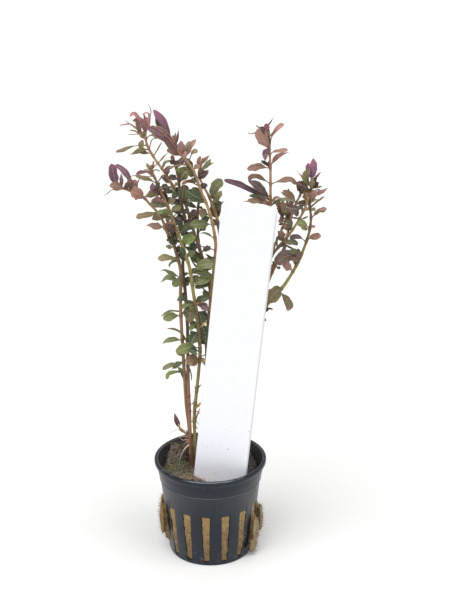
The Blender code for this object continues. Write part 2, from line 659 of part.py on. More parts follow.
def tube(name, points, radii, around=STEM_ROUND):
    """A round tube along the points, as mesh data with its caps welded."""
    curve = bpy.data.curves.new(name, "CURVE")
    curve.dimensions = "3D"
    curve.bevel_depth = 1
    curve.bevel_resolution = around
    curve.use_fill_caps = True
    spline = curve.splines.new("POLY")
    spline.points.add(len(points) - 1)
    for knot, point, radius in zip(spline.points, points, radii):
        knot.co = (*point, 1)
        knot.radius = radius
    guide = bpy.data.objects.new(name, curve)
    CUTTERS.objects.link(guide)
    graph = bpy.context.evaluated_depsgraph_get()
    data = bpy.data.meshes.new_from_object(guide.evaluated_get(graph))
    bpy.data.objects.remove(guide)
    shape = bmesh.new()
    shape.from_mesh(data)
    bmesh.ops.remove_doubles(shape, verts=shape.verts, dist=0.00001)
    bpy.data.meshes.remove(data)
    return to_mesh_data(name, shape)


def stem_points(route):
    """The stem's middle line, from its tip to its end below the wool's top."""
    points = [place(*step) for step in route]
    return points + [points[-1] - Vector((0, 0, ROOTED))]


def stem_radii(count):
    """Thin at the tip, full from about a third of the way down."""
    return [min(STEM_RADIUS, STEM_TIP_RADIUS + STEM_RADIUS * i / count) for i in range(count)]


def on_stem(route, row):
    """The stem's middle at this row of the picture, the stem's direction there, and its depth."""
    for upper, lower in zip(route, route[1:]):
        if row <= lower[1]:
            break
    share = max(0.0, (row - upper[1]) / (lower[1] - upper[1]))
    step = [a + share * (b - a) for a, b in zip(upper, lower)]
    return place(*step), (place(*lower) - place(*upper)).normalized(), step[2]


def leaf_data(name, foot, tip, width, face, arch, rings):
    """A closed blade between foot and tip, from a four-sided sphere that is flattened and bent."""
    along = tip - foot
    length = along.length
    along.normalize()
    upward = Vector((0, -math.sin(math.radians(face)), math.cos(math.radians(face))))
    across = upward.cross(along).normalized()
    rise = along.cross(across)
    shape = bmesh.new()
    bmesh.ops.create_uvsphere(shape, u_segments=4, v_segments=rings, radius=1)
    for vert in shape.verts:
        around = math.hypot(vert.co.x, vert.co.y)
        at_end = around < END_OF_LEAF
        side = 0 if at_end else vert.co.x / around
        skin = 0 if at_end else vert.co.y / around
        share = (1 + vert.co.z) / 2
        outline = 0 if at_end else math.sin(math.pi * share**OUTLINE_SHIFT) ** OUTLINE_FULL
        half_width = width * MM / 2 * outline
        lift = arch * length * 4 * share * (1 - share) + LEAF_CUP * abs(side) * half_width
        lift += skin * LEAF_THICKNESS / 2 * around
        vert.co = foot + along * (share * length) + across * (side * half_width) + rise * lift
    return to_mesh_data(name, shape)


def leaf_ends(route, leaf, clearance):
    """The leaf's foot and tip. Its foot stands this far off the middle of its stem."""
    row, tip_across, tip_down, aft = leaf[:4]
    middle, direction, depth = on_stem(route, row)
    tip = place(tip_across, tip_down, depth + aft)
    outward = tip - middle
    outward -= direction * outward.dot(direction)
    return middle + outward.normalized() * clearance, tip


def build_stem(name, stem):
    route = stem["route"]
    points = stem_points(route)
    radii = stem_radii(len(points))
    body = add_part(name, tube(name, points, radii), stem["colour"])
    for index, leaf in enumerate(stem["sprigs"]):
        foot, tip = leaf_ends(route, leaf, 0)
        rings = 4 if (tip - foot).length > SMALL_LEAF else 3
        blade = leaf_data(f"{name}_sprig_{index}", foot, tip, *leaf[4:7], rings)
        combine(body, add_helper(f"{name}_sprig_{index}", blade), "UNION")
    short = name.replace("stem_", "")
    for index, leaf in enumerate(stem["leaves"]):
        foot, tip = leaf_ends(route, leaf, CLEARANCE)
        leaf_name = f"leaf_{short}_{index + 1}"
        rings = 5 if (tip - foot).length > SMALL_LEAF else 4
        add_part(leaf_name, leaf_data(leaf_name, foot, tip, *leaf[4:7], rings), leaf[7])
    socket_top = points[-2] + Vector((0, 0, SOCKET_HEIGHT))
    socket_foot = points[-1] - Vector((0, 0, GAP))
    socket = tube(f"{name}_socket", (socket_top, socket_foot), (CLEARANCE, CLEARANCE))
    return body, add_helper(f"{name}_socket", socket)


def build_side_shoot(stem):
    points = [place(*step) for step in SIDE_SHOOT]
    shoot = tube("side_shoot", points, (SIDE_SHOOT_RADIUS,) * len(points))
    combine(stem, add_helper("side_shoot", shoot), "UNION")


def build_root():
    points = [place(*step) for step in PALE_ROOT]
    add_part("pale_root", tube("pale_root", points, (ROOT_RADIUS,) * len(points)), "root")


def build_wool(sockets):
    wool = add_part("rockwool", wool_core(), "wool")
    for index in range(SLOTS):
        combine(wool, slot_bulge(index), "UNION")
    for tuft in WOOL_TUFTS:
        combine(wool, wool_tuft(*tuft), "UNION")
    for socket in sockets:
        combine(wool, socket, "DIFFERENCE")


def main():
    build_pot()
    sockets = [build_label()]
    for name, stem in STEMS.items():
        body, socket = build_stem(name, stem)
        sockets.append(socket)
        if name == "stem_far_left":
            build_side_shoot(body)
    build_root()
    build_wool(sockets)


main()
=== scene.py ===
"""Looks of the potted rotala: fine leaf blades, smooth stems, fibrous rockwool, a satin net pot and a label.

Metres, +Z up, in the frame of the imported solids. The picture's camera looks along +Y and down.
"""

import math
import random
from types import SimpleNamespace

import bmesh
import bpy
import numpy as np
from mathutils import Euler, Matrix, Vector, noise


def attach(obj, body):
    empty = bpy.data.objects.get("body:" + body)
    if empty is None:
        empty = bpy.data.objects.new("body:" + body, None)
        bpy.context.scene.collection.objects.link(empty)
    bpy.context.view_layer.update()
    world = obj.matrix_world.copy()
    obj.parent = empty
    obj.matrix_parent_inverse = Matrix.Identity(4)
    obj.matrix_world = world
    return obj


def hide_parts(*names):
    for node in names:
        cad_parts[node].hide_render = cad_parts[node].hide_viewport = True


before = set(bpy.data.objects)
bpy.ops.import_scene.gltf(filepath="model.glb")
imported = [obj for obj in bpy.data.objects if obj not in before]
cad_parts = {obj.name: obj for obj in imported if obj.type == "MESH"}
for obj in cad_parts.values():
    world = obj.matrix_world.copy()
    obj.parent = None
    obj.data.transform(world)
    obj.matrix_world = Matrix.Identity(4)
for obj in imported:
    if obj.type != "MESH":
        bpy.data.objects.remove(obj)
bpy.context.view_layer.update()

MM = 0.001

# The picture is 470 pixels wide and 596 high. The camera stands here and looks along +Y, down by the pitch.
EYE = Vector((0.0115, -0.4960, 0.3045))
EYE_PITCH = math.radians(19.9)
FOCAL_PIXELS = 1190
CENTRE_PIXEL = (235, 298)
SENSOR = 36
PICTURE_HEIGHT = 596
NEAR_CLIP = 0.01

# Net pot
POT_HEIGHT = 0.0467
RIM_RADIUS = 0.0260
RIM_INNER_RADIUS = 0.0243
LIP_HEIGHT = 0.0024
BAND_RADIUS_TOP = 0.0249
BAND_RADIUS_FOOT = 0.0237
BAND_FOOT = 0.0369
WALL_RADIUS_TOP = 0.0233
WALL_RADIUS_FOOT = 0.0195
WALL = 0.0009
FLOOR = 0.0012
LIP_ROUND = 0.0007
WALL_ROUND = 0.0004
# Rounded parts of its section. Each arc has its middle, out and up from a corner, its radius, the angles
# where it starts and ends, in degrees, and its number of steps.
LIP_INSIDE = (0.0005, -0.0006, 0.0006, 170, 90, 6)
LIP_OUTSIDE = (-LIP_ROUND, -LIP_ROUND, LIP_ROUND, 90, 0, 6)
LIP_ROLL = (-0.0009, 0.0009, 0.0009, 0, -62, 6)
LIP_HOLLOW = (0.00175, -0.0014, 0.0018, 125, 180, 8)
BAND_EDGE = (-0.0001, 0.0003, 0.00020, 70, -85, 6)
WALL_EDGE = (-WALL_ROUND, WALL_ROUND, WALL_ROUND, 0, -90, 4)
# How far the lip opens upwards, where the band's edge starts above its foot and ends below it, and a point
# half way up the wall.
LIP_FLARE = 0.0001
BAND_EDGE_TOP = 0.0006
BAND_EDGE_FOOT = 0.0003
WALL_MIDDLE = 0.018
POT_SIDES = 196
POT_BEVEL = 0.00010
# Edges sharper than the first angle are bevelled, and those sharper than the second are shaded as sharp, in
# degrees. Points of the turned section that are nearer than this are merged.
POT_BEVEL_ANGLE = 50
POT_SHARP_ANGLE = 35
WELD = 0.00001
SLOTS = 15
SLOT_PITCH = 2 * math.pi / SLOTS
SLOT_TURN = math.radians(-4.6)
SLOT_FOOT = 0.0020
SLOT_TOP = 0.0270
SLOT_WIDTH_FOOT = 0.0028
SLOT_WIDTH_TOP = 0.0043
SLOT_DEPTH = 0.0120
SLOT_CORNER = 0.0008
SLOT_CORNER_STEPS = 5
LEVEL_PLAY = 0.0001
DRAINS = 5
DRAIN_RADIUS = 0.0105
DRAIN_SIZE = (0.0070, 0.0024)

# The wool in a slot: its play to the slot's edges, and how far it reaches past the wall's face and behind it.
SLOT_PLAY = 0.00015
FILL_OUT = -0.0001
FILL_IN = 0.0026

# The wool's surface: where its top starts, the size of its mesh, the scale and height of its fuzz, lumps and
# tears (which have a scale across and one upwards), and how strongly they show on top and elsewhere. The
# fuzz has layers: how fast they fade, how much finer each is, and how many there are.
WOOL_TOP = 0.0360
WOOL_MESH = 0.00042
WOOL_FUZZ = (420, 0.0005)
FUZZ_LAYERS = (0.9, 2.2, 5)
WOOL_LUMPS = (150, 0.0006)
WOOL_TEARS = (260, 420, 0.0012)
WOOL_ROUGH_TOP = 1.3
WOOL_ROUGH_SIDE = 0.3

# Fibres also show where the wool in a slot stands this far out of the wall. The seeds keep each run alike.
LOOSE_LEVEL = 0.0375
PROUD = 0.0002
FIBRE_SEED = 7
FIBRES = 4200
FIBRE_LENGTH = (0.0006, 0.0024)
FIBRE_RADIUS = (0.00003, 0.00007)
# How far a fibre stands up, how far it bends, as a share of its length, and how deep its foot is in the wool.
FIBRE_LIFT = (0.15, 0.7)
FIBRE_BEND = 0.35
FIBRE_SUNK = 0.0002
FIBRE_SIDES = 3
CRUMB_SEED = 11
CRUMBS = 620
CRUMB_SIZE = (0.00015, 0.00062)
# A crumb has rings at these levels. It is stretched, flattened, and uneven by this share at this scale, and
# the crumbs' noise is taken this far apart.
CRUMB_LEVELS = (-0.9, -0.45, 0.1, 0.6, 0.92)
CRUMB_SIDES = 7
CRUMB_STRETCH = (0.6, 1.4)
CRUMB_HEIGHT = 0.7
CRUMB_UNEVEN = 0.7
CRUMB_NOISE = 1.3
CRUMB_SPREAD = 90

# Plant label
LABEL_SIZE = (0.0240, 0.0005, 0.1351)
LABEL_CORNER = 0.0026
LABEL_WORN_CORNER = 0.0044
LABEL_BEVEL = 0.00012
LABEL_BEVEL_ANGLE = 30
LABEL_SHARP_ANGLE = 40
LABEL_CORNER_ROWS = 10
LABEL_ROWS = 40
LABEL_COLUMNS = 24
LABEL_FOOT = (0.0040, -0.0128, 0.0365)
LABEL_LEAN = math.radians(5.7)
LABEL_BACK = math.radians(2)
LABEL_YAW = math.radians(-6.4)

# Stems and leaves
STEM_RADIUS = 0.00075
STEM_TIP_RADIUS = 0.00045
ROOTED = 0.0060
# A stem thickens from its tip at this rate, and is uneven by this share at this scale. The foot of a leaf is
# this share of the stem's radius away from its middle.
STEM_TAPER = 1.1
STEM_UNEVEN = 0.06
STEM_NOISE = 260
LEAF_FOOT = 0.6
STEM_SIDES = 14
STEM_STEP = 0.0006
NODE_SWELLING = 0.00016
NODE_REACH = 0.0008
LEAF_THICKNESS = 0.00028
LEAF_ROWS = 22
LEAF_COLUMNS = 8
LEAF_STEP = 0.0002
# Rows of a blade are this much closer at its middle and farther apart at its ends.
ROW_CROWDING = 0.12
STALK_WIDTH = 0.00055
STALK_TAPER = 0.8
# Blades wider than a strap, in mm, are broader than their row says by this factor.
LEAF_BREADTH = 1.20
STRAP_WIDTH = 1.2
MIDRIB_DEPTH = 0.00006
MIDRIB_WIDTH = 0.00025
TIP_CURL_FROM = 0.6
TIP_CURL = 2.4
# By chance, a blade's sides rise more or less, and it bends to a side if its row has no bends. Sides that
# rise make it narrower. The noise of the leaves is taken this far apart.
CUP_PLAY = (0.4, 1.6)
CUP_RISE = 0.8
CUP_NARROWS = 0.12
SWAY = 0.07
LEAF_SPREAD = 50
# The wobble of its outline: how strong it is, how unlike its two sides are, and its scale along the blade.
EDGE_WOBBLE = 0.32
WOBBLE_APART = 9
WOBBLE_NOISE = 4.5
# The waves of its edge: their run along it in radians, and how far the right side's are ahead.
WAVE_RUN = 11
WAVE_AHEAD = 1.7
# Its creases: their height and scale, and how fast they start where the blade leaves its stalk.
CREASE = 0.00022
CREASE_NOISE = 700
CREASE_START = 4
# A point this near to the side, as a share of the half width, is on the blade's edge.
AT_EDGE = 0.999
LEAF_MARKS = ("along", "side", "skin", "tint", "warm", "knot")

# Floor and light
FLOOR_HALF = 6.0
FLOOR_SHADES = ((0.86, 0.86, 0.85, 1), (0.89, 0.89, 0.885, 1))
SKY_STRENGTH = 0.57
# Each light: the way that it shines, its strength, and how soft it is in degrees.
SUNS = {"key": ((0.40, 0.55, -1.1), 1.80, 45), "fill": ((-0.60, 0.35, -0.9), 0.9, 40)}

# How a blade is formed: the stalk's share of the length, where the blade is widest, how its outline narrows
# to its foot and to its tip (small is blunter), how far its sides rise, how far its tip curls down, how wavy
# its edge is, and its twist in degrees.
SHAPES = {
    "oval": (0.08, 0.50, 0.80, 0.66, 0.30, 0.06, 0.06, 10),
    "round": (0.05, 0.52, 0.62, 0.50, 0.30, 0.08, 0.08, 10),
    "blunt": (0.10, 0.60, 0.90, 0.42, 0.30, 0.06, 0.06, 8),
    "pear": (0.08, 0.66, 1.30, 0.50, 0.25, 0.08, 0.06, 8),
    "spoon": (0.30, 0.72, 1.00, 0.45, 0.30, 0.06, 0.05, 10),
    "paddle": (0.45, 0.74, 0.90, 0.45, 0.25, 0.05, 0.05, 8),
    "lance": (0.06, 0.42, 0.80, 1.05, 0.40, 0.04, 0.04, 10),
    "drawn": (0.06, 0.40, 0.90, 1.60, 0.35, 0.04, 0.05, 10),
    "strap": (0.00, 0.55, 0.30, 0.40, 0.30, 0.00, 0.05, 15),
    "limp": (0.10, 0.55, 0.75, 0.60, 0.60, 0.50, 0.16, 45),
    "fan": (0.05, 0.72, 1.10, 0.30, 0.30, 0.06, 0.08, 8),
    "bud": (0.45, 0.40, 0.70, 0.90, 0.40, 0.04, 0.06, 10),
}

# Each stem's route runs from its tip to its foot in the wool: across and down the picture in
# pixels, then depth behind the pot's axis in millimetres.
# Each leaf has the row of its foot on the stem, its tip across and down, how far the tip is
# behind the foot (mm), its width (mm), its look, and the bends of its middle line, if it isn't straight.
# The look is its colour, its shape, its face (0 looks up, 90 looks to the front) and its arch as a
# share of its length. Those at the look's end that are as in USUAL_LOOK are left out.
# "leaves" stand for solids of their own; "sprigs" belong to the stem.
USUAL_LOOK = ("", "oval", "60", "0")
STEMS = {}
STEMS["stem_tall_left"] = {"colour": "tan", "route": (
    (144.7, 130, 10), (147, 144.6, 10), (154, 157.6, 10), (163.9, 171.6, 9.5), (174.6, 188.6, 9),
    (185.4, 204.6, 8.5), (190, 218.5, 8), (198, 245, 7.5), (203.6, 261.6, 7), (209.5, 285, 7),
    (212.5, 330, 7), (209, 380, 6.5), (205.5, 430, 6), (203, 461, 5.5),
), "leaves": (
    (145, 115.5, 151.8, -3, 2, "olive spoon 35", (139, 145.4), (133, 146.4), (127.5, 148.6), (122, 150.8)),
    (153, 128.7, 154.4, 3, 2.6, "olive drawn 45", (145, 153.2), (140.5, 151.5), (135, 153)),
), "sprigs": (
    (163, 168.5, 152, -3, 1, "brown drawn 50", (163.2, 157.5)),
    (134, 132.5, 121.4, -1, 2.2, "brown oval 75", (139.6, 131), (138.6, 124.5), (137, 120.6), (134.8, 120.2)),
    (133.3, 119.2, 125.4, 2, 0.9, "pink strap", (138.3, 129.4), (134, 126.6), (130, 124), (125, 124.4)),
    (133.2, 125.3, 120.3, 2.3, 0.5, "dark strap", (138.3, 129.6), (134, 126.8), (130, 124.2)),
    (132.4, 129.6, 116.6, -2, 1.5, "pink pear", (142, 123), (138, 117.2), (134.5, 113.6), (131.6, 114.2)),
    (131, 142.2, 114.4, 0, 1.1, "pink strap", (148.4, 127.5), (149.4, 118), (148.4, 113.6), (145.6, 112.9)),
    (131.5, 143.6, 113.4, -1, 1.2, "pink strap", (144.2, 124), (144.8, 118)),
    (131.8, 146.8, 117, -2, 3, "pink oval 60 0.05", (145.7, 126)),
    (131.6, 141.3, 117.4, -3, 2.2, "pink oval 60 0.05", (143.3, 125)),
    (135, 129.5, 130.2, -3, 0.9, "brown strap 40", (138, 133), (135, 131.2)),
    (135.5, 127.8, 134.6, 3, 0.4, "brown strap 20", (138.5, 134.3)),
    (138.5, 140, 131.8, -1, 2.5, "olive round"),
    (133, 148, 103.6, 1, 0.4, "dark strap", (149.4, 123), (150.6, 114.5), (150.8, 110)),
    (149.5, 142.6, 140, -2, 2.1, "olive blunt 75", (145, 149.4), (141.6, 148.6), (141.2, 144.5)),
    (139, 157.6, 138.4, 2, 1.6, "olive spoon 50", (149, 135.9), (153, 135.4)),
    (148, 156.4, 138, -2, 0.6, "brown strap 40", (151.4, 140.8), (153.8, 138.9)),
    (156, 162, 141.6, 3, 0.7, "brown strap 40", (158, 148.6)),
    (168.5, 172.5, 161.3, 1, 1.3, "sage strap 55", (164.3, 163.8), (167, 161.4)),
    (175, 170.2, 165.6, -2, 1.9, "plum", (166.3, 171)),
    (176.5, 169.5, 168.5, 1, 1.3, "brown", (167.6, 174)),
    (176, 157.6, 183, 2, 0.7, "umber strap 50", (162.5, 175.2), (161, 177.8)),
    (184, 161.6, 176.2, 3, 1.8, "plum", (166.5, 180.2)),
    (191, 164.5, 191.6, 3, 1.2, "olive strap 50", (171, 187.4), (167.6, 188.6)),
    (194, 165, 192.4, 5, 1.7, "dark", (170, 191.5)),
    (217, 197, 211, 4, 2.6, "umber"),
    (238, 188.5, 251, 3, 2, "dark"),
    (262, 185.5, 246.6, 1, 2.7, "dark", (196, 254.5)),
    (264, 189.5, 252, -3, 3.1, "dark", (197.5, 260)),
    (268, 196.5, 257.5, -2, 2.6, "green"),
    (275, 190, 257.5, -2, 0.8, "brown strap", (196, 266.5)),
    (279, 195.6, 271, -3, 3.3, "dark", (202.5, 273.6)),
    (284, 192.6, 278.5, -4, 3.5, "dark round"),
    (286, 195, 288, -4, 3.1, "moss", (203, 284.8)),
    (294, 193.5, 285.8, -3, 0.9, "dark strap", (204.5, 290), (200.5, 286.6)),
)}
STEMS["stem_tall_purple"] = {"colour": "orange", "route": (
    (172, 137, -13), (176.4, 148, -12.5), (181.8, 155, -12), (192, 168, -10), (196.5, 179, -8.5),
    (202, 193.5, -6.5), (207.7, 207, -4.5), (213, 226, -2.5), (215.7, 246, -1), (214.4, 264, 0),
    (211, 297, 1), (207.6, 328.6, 1.5), (206.5, 348, 1.5), (206.5, 390, 1.5), (205.5, 430, 1.5),
    (204, 463, 2),
), "leaves": (
    (141, 153.3, 109.6, 1, 2.7, "purple blunt", (166, 128), (159.8, 117.5)),
    (151.5, 147.2, 127.4, -4, 3.3, "plum blunt", (169, 141.5), (157, 132.4)),
    (224, 190.3, 224.8, -4, 3.7, "green blunt 55 0.03", (200, 224.6)),
    (200, 186.5, 190.4, -5.5, 4.6, "dark blunt 60 0.05", (199, 198.4), (192, 195)),
), "sprigs": (
    (141.5, 155.5, 115.5, 3, 2.4, "umber oval 55", (163.4, 130.5), (158.2, 122)),
    (149, 151.5, 125.4, -2, 1.7, "olive strap", (163, 131), (156, 127.9)),
    (149.5, 153, 126.4, -6, 0.6, "pink strap", (170, 139.6), (161, 130.8)),
    (146, 161, 137.5, -5.6, 0.7, "brown strap", (168.5, 133.2), (164.5, 135)),
    (158.5, 196.2, 139.2, 3, 2.2, "brown", (188.2, 152), (190.3, 146.2)),
    (156, 163, 137.5, -3, 3.2, "mauve", (173, 148)),
    (172, 186.5, 158, 3, 3, "umber"),
    (170, 199.5, 164.5, 2, 2.2, "brown"),
    (176, 188, 170.5, -2, 2.8, "moss"),
    (190, 206.5, 183.5, 4, 2.6, "umber"),
    (145, 178.6, 128.4, 1, 1.1, "plum drawn 70", (177.6, 138)),
    (144, 175.3, 132.6, -1, 1.1, "brown", (175.5, 138.5)),
    (143, 172.6, 135.2, 0, 1.4, "plum"),
    (154.5, 181, 140.8, -2, 2.9, "pink oval 70", (181.3, 148)),
    (155, 189.6, 140.8, 2, 1.4, "sage", (186, 147.5)),
    (163, 197.9, 150.1, 1, 1.7, "olive paddle 55", (190.3, 157.5), (192.6, 152.8)),
    (159, 185.8, 151.3, -3, 1.6, "pink"),
    (156, 166.8, 149.4, 3, 2.1, "olive blunt 50", (177, 154.6), (172, 152.2)),
    (166.5, 167.5, 168.2, 1, 0.9, "olive strap 50", (186, 164.8), (180, 164.9), (174, 166)),
    (171, 180, 167, 3, 0.8, "moss strap 50", (186, 169.6)),
    (181, 191.3, 179.4, -3, 1.9, "dark round"),
    (178, 208.4, 172.4, -3, 3.2, "umber"),
    (185, 181.4, 184.2, -3, 1.5, "rust blunt 50", (191, 181.8), (186.5, 181.8)),
    (202.5, 186, 200.3, 2, 1.1, "olive strap 40"),
    (198, 192, 187.5, 1, 2.4, "moss oval 55"),
    (215, 198.8, 212, -1, 3.4, "olive blunt", (204, 213.2)),
    (217, 203, 222, 4, 2.8, "dark"),
    (238, 199.8, 233.5, -1, 1.2, "green lance 50", (208.5, 234.4), (203.5, 233)),
    (250, 199.4, 245.1, -2, 1, "plum lance 50", (208, 248), (204, 247.2)),
    (257.5, 206, 254.4, -3, 1.1, "dark spoon 50"),
    (312, 201, 303.6, 3, 3.2, "dark"),
    (322, 201, 313, 2, 3.2, "moss"),
    (336, 200.6, 326, 3, 3.4, "dark"),
    (346, 201.2, 337, 3, 3, "dark"),
    (262, 206, 270, 4, 3, "dark"),
    (300, 204, 290, 4, 3, "moss"),
)}
STEMS["stem_behind_purple"] = {"colour": "tan", "route": (
    (203, 158, 14), (200, 168, 13.5), (199, 176, 13), (204.5, 188, 12), (209, 196.6, 11), (216, 215, 10),
    (218.5, 228, 9.5), (222, 260, 9), (222, 320, 8.5), (218, 380, 8), (213, 430, 7.5), (209.5, 460, 7),
), "leaves": (
    (199, 221.8, 179.3, -3, 4.2, "sage blunt 65 0.05", (214, 190)),
    (219.5, 218, 200, 6, 5, "moss round 70 0.03", (215.5, 210)),
), "sprigs": (
    (168, 200.7, 155.9, 0, 1.7, "brown", (198.6, 162)),
    (165, 209.5, 155.4, 2, 1.5, "brown oval 50", (203.4, 161.8)),
    (170, 210.9, 159.2, -2, 1.9, "sage oval 55", (205, 167)),
    (170.5, 213.6, 162.6, -2, 1.2, "green oval 55", (208.5, 165)),
    (172, 208.2, 163.2, 3, 1.6, "pink oval 50", (202.5, 169.3)),
    (177.5, 208.8, 170, -2, 1.7, "husk oval 50", (203, 174.6)),
    (178, 204.5, 172, 1, 0.9, "sage strap 50"),
    (219, 218.8, 230.2, -2, 1.4, "plum lance", (218.4, 223)),
    (226, 211, 219, 3, 2.4, "moss"),
    (210, 214, 203, 3, 3, "dark"),
    (204, 221.6, 190.6, 3, 2.8, "olive"),
    (196, 217, 197, 3, 2.6, "umber"),
    (212, 225, 201.6, 2, 2.2, "moss"),
)}
STEMS["stem_brown_back"] = {"colour": "brown", "route": (
    (198.3, 202, 17), (198, 215, 16.5), (197.9, 230, 16), (199, 244, 15.5), (204.5, 265, 14.5),
    (211, 290, 13.5), (214, 330, 12.5), (213, 380, 11.5), (211, 430, 10.8), (209, 457, 10.5),
), "leaves": (), "sprigs": (
    (208, 187.3, 203.4, -3, 2, "dark blunt", (193, 205.8)),
    (209.5, 190.4, 218.6, -2, 2.2, "brown", (193.6, 211.8)),
    (209, 203, 209.8, 1, 1.2, "dark oval 50", (200, 207.3)),
    (206, 204, 197, -2, 2.3, "olive spoon 50 0.05"),
    (222, 207, 218, 3, 2.8, "moss spoon 50 0.1"),
    (246, 190.5, 248, -2, 2.6, "dark round 65"),
    (262, 214, 258, 2, 3.2, "green"),
    (274, 212, 283, 2, 3, "moss"),
    (240, 189, 232, 2, 2.6, "moss"),
    (232, 206.4, 222.8, 2, 2.6, "moss"),
    (252, 210.6, 246.6, 2, 2.4, "dark"),
    (226, 189, 212, 3, 3, "umber"),
)}
STEMS["stem_far_left"] = {"colour": "olive", "route": (
    (116, 187, -15), (123.8, 188.6, -14), (131.8, 191.3, -13), (143, 197, -11), (149.6, 204, -9.5),
    (156.3, 211, -8), (162.5, 220.5, -6.5), (168, 234, -5), (174, 245.5, -3.5), (180.8, 272, -2),
    (180.4, 297, -1.2), (181.3, 324, -1), (184.4, 375, -0.2), (186.2, 404.6, 1.4), (188.6, 424, 2.6),
    (190.2, 445, 3.2), (191.5, 461, 3.5),
), "leaves": (
    (187, 111.3, 163.6, 1, 3.9, "violet oval 70", (114, 176)),
    (191, 115, 164.6, 5, 2.3, "violet blunt", (128.5, 177.5), (121.5, 168.8)),
    (199, 130.5, 191.5, -5, 4.8, "brown fan 65", (138.5, 194)),
    (227, 145, 225.5, -2, 3, "blush drawn 55", (156, 226.8), (150, 225.2)),
    (257, 157.8, 258.6, -3, 2.8, "olive blunt 55", (168, 257.6)),
    (280, 160.2, 283.2, 2, 2.5, "sage drawn 50", (172, 278.3), (166.5, 277.8)),
    (315.5, 163, 318.8, -2, 3.5, "green blunt", (172, 316)),
    (340, 161, 345.2, -1, 2.3, "green drawn 55", (173.5, 339.4), (166.5, 341)),
    (363, 162.4, 369.4, -3, 2.1, "sage pear 55", (178, 364.3), (171, 365)),
    (372, 166.8, 379.6, 3, 1.9, "lime blunt 55", (177, 371.8), (170.5, 373), (167.3, 375.8)),
), "sprigs": (
    (262, 171.4, 258.2, 2, 2.2, "olive"),
    (375, 176.8, 371.6, -2, 1.5, "sage strap", (181.5, 371.6)),
    (378, 177.6, 367.8, -2, 1.4, "green strap", (181.5, 370.4)),
    (188.5, 109.6, 185, -2, 3.1, "mauve round 70"),
    (188.2, 121, 173, 1, 1.5, "plum lance"),
    (190, 126, 182.6, -2, 2, "umber"),
    (191, 135, 179.4, 2, 3, "brown round", (133.6, 186)),
    (190.5, 130, 178, 1, 2.6, "brown"),
    (196, 139.8, 177.4, -1, 0.7, "brown strap", (137, 187)),
    (198, 151.2, 190.6, 2, 0.7, "sage strap 40"),
    (188, 104, 195.4, 2, 0.4, "dark strap 40", (112, 190), (108.5, 192.6)),
    (232, 174.8, 222.8, -2, 4, "brown", (169.5, 227.5)),
    (229, 176, 230.8, -3, 2.4, "umber"),
    (235, 163.5, 223.6, 3, 2.6, "plum"),
    (238, 176, 233.4, 1, 1.5, "green limp"),
    (240, 167.6, 236.6, -2, 1.3, "dark limp"),
    (241.5, 167.6, 239.6, -3, 1.2, "dark limp"),
    (242, 178, 236.6, -2, 1.6, "dark limp"),
    (243.5, 178.4, 241, -3, 1.8, "dark limp"),
    (244.5, 169, 242.6, -2, 1.4, "moss limp"),
    (247, 165.8, 245.4, 2, 1.9, "sage oval 50", (170, 247.3)),
    (252, 180.2, 244.4, 1, 1.3, "brown lance"),
    (254, 181.4, 257.2, 2, 1.6, "umber"),
    (260.5, 169.2, 266.8, 3, 1.2, "green strap 55", (173, 261.8), (170.3, 263.8)),
    (277, 159.6, 271.6, -2, 1.6, "green drawn 50", (172, 273.8), (166, 270.6), (162, 270.2)),
    (275, 173.5, 286.7, -3, 3, "green pear 65", (178.5, 279)),
    (300, 185.8, 292, 3, 2.2, "moss"),
    (361.5, 171.4, 369.4, -2, 2.5, "green drawn 55", (178, 364.5)),
    (433, 174.4, 413.4, -4, 2.1, "plum bud 70", (181, 431), (177.6, 423)),
    (436, 180.3, 427, -5, 0.9, "peach strap", (184.6, 432.3)),
)}
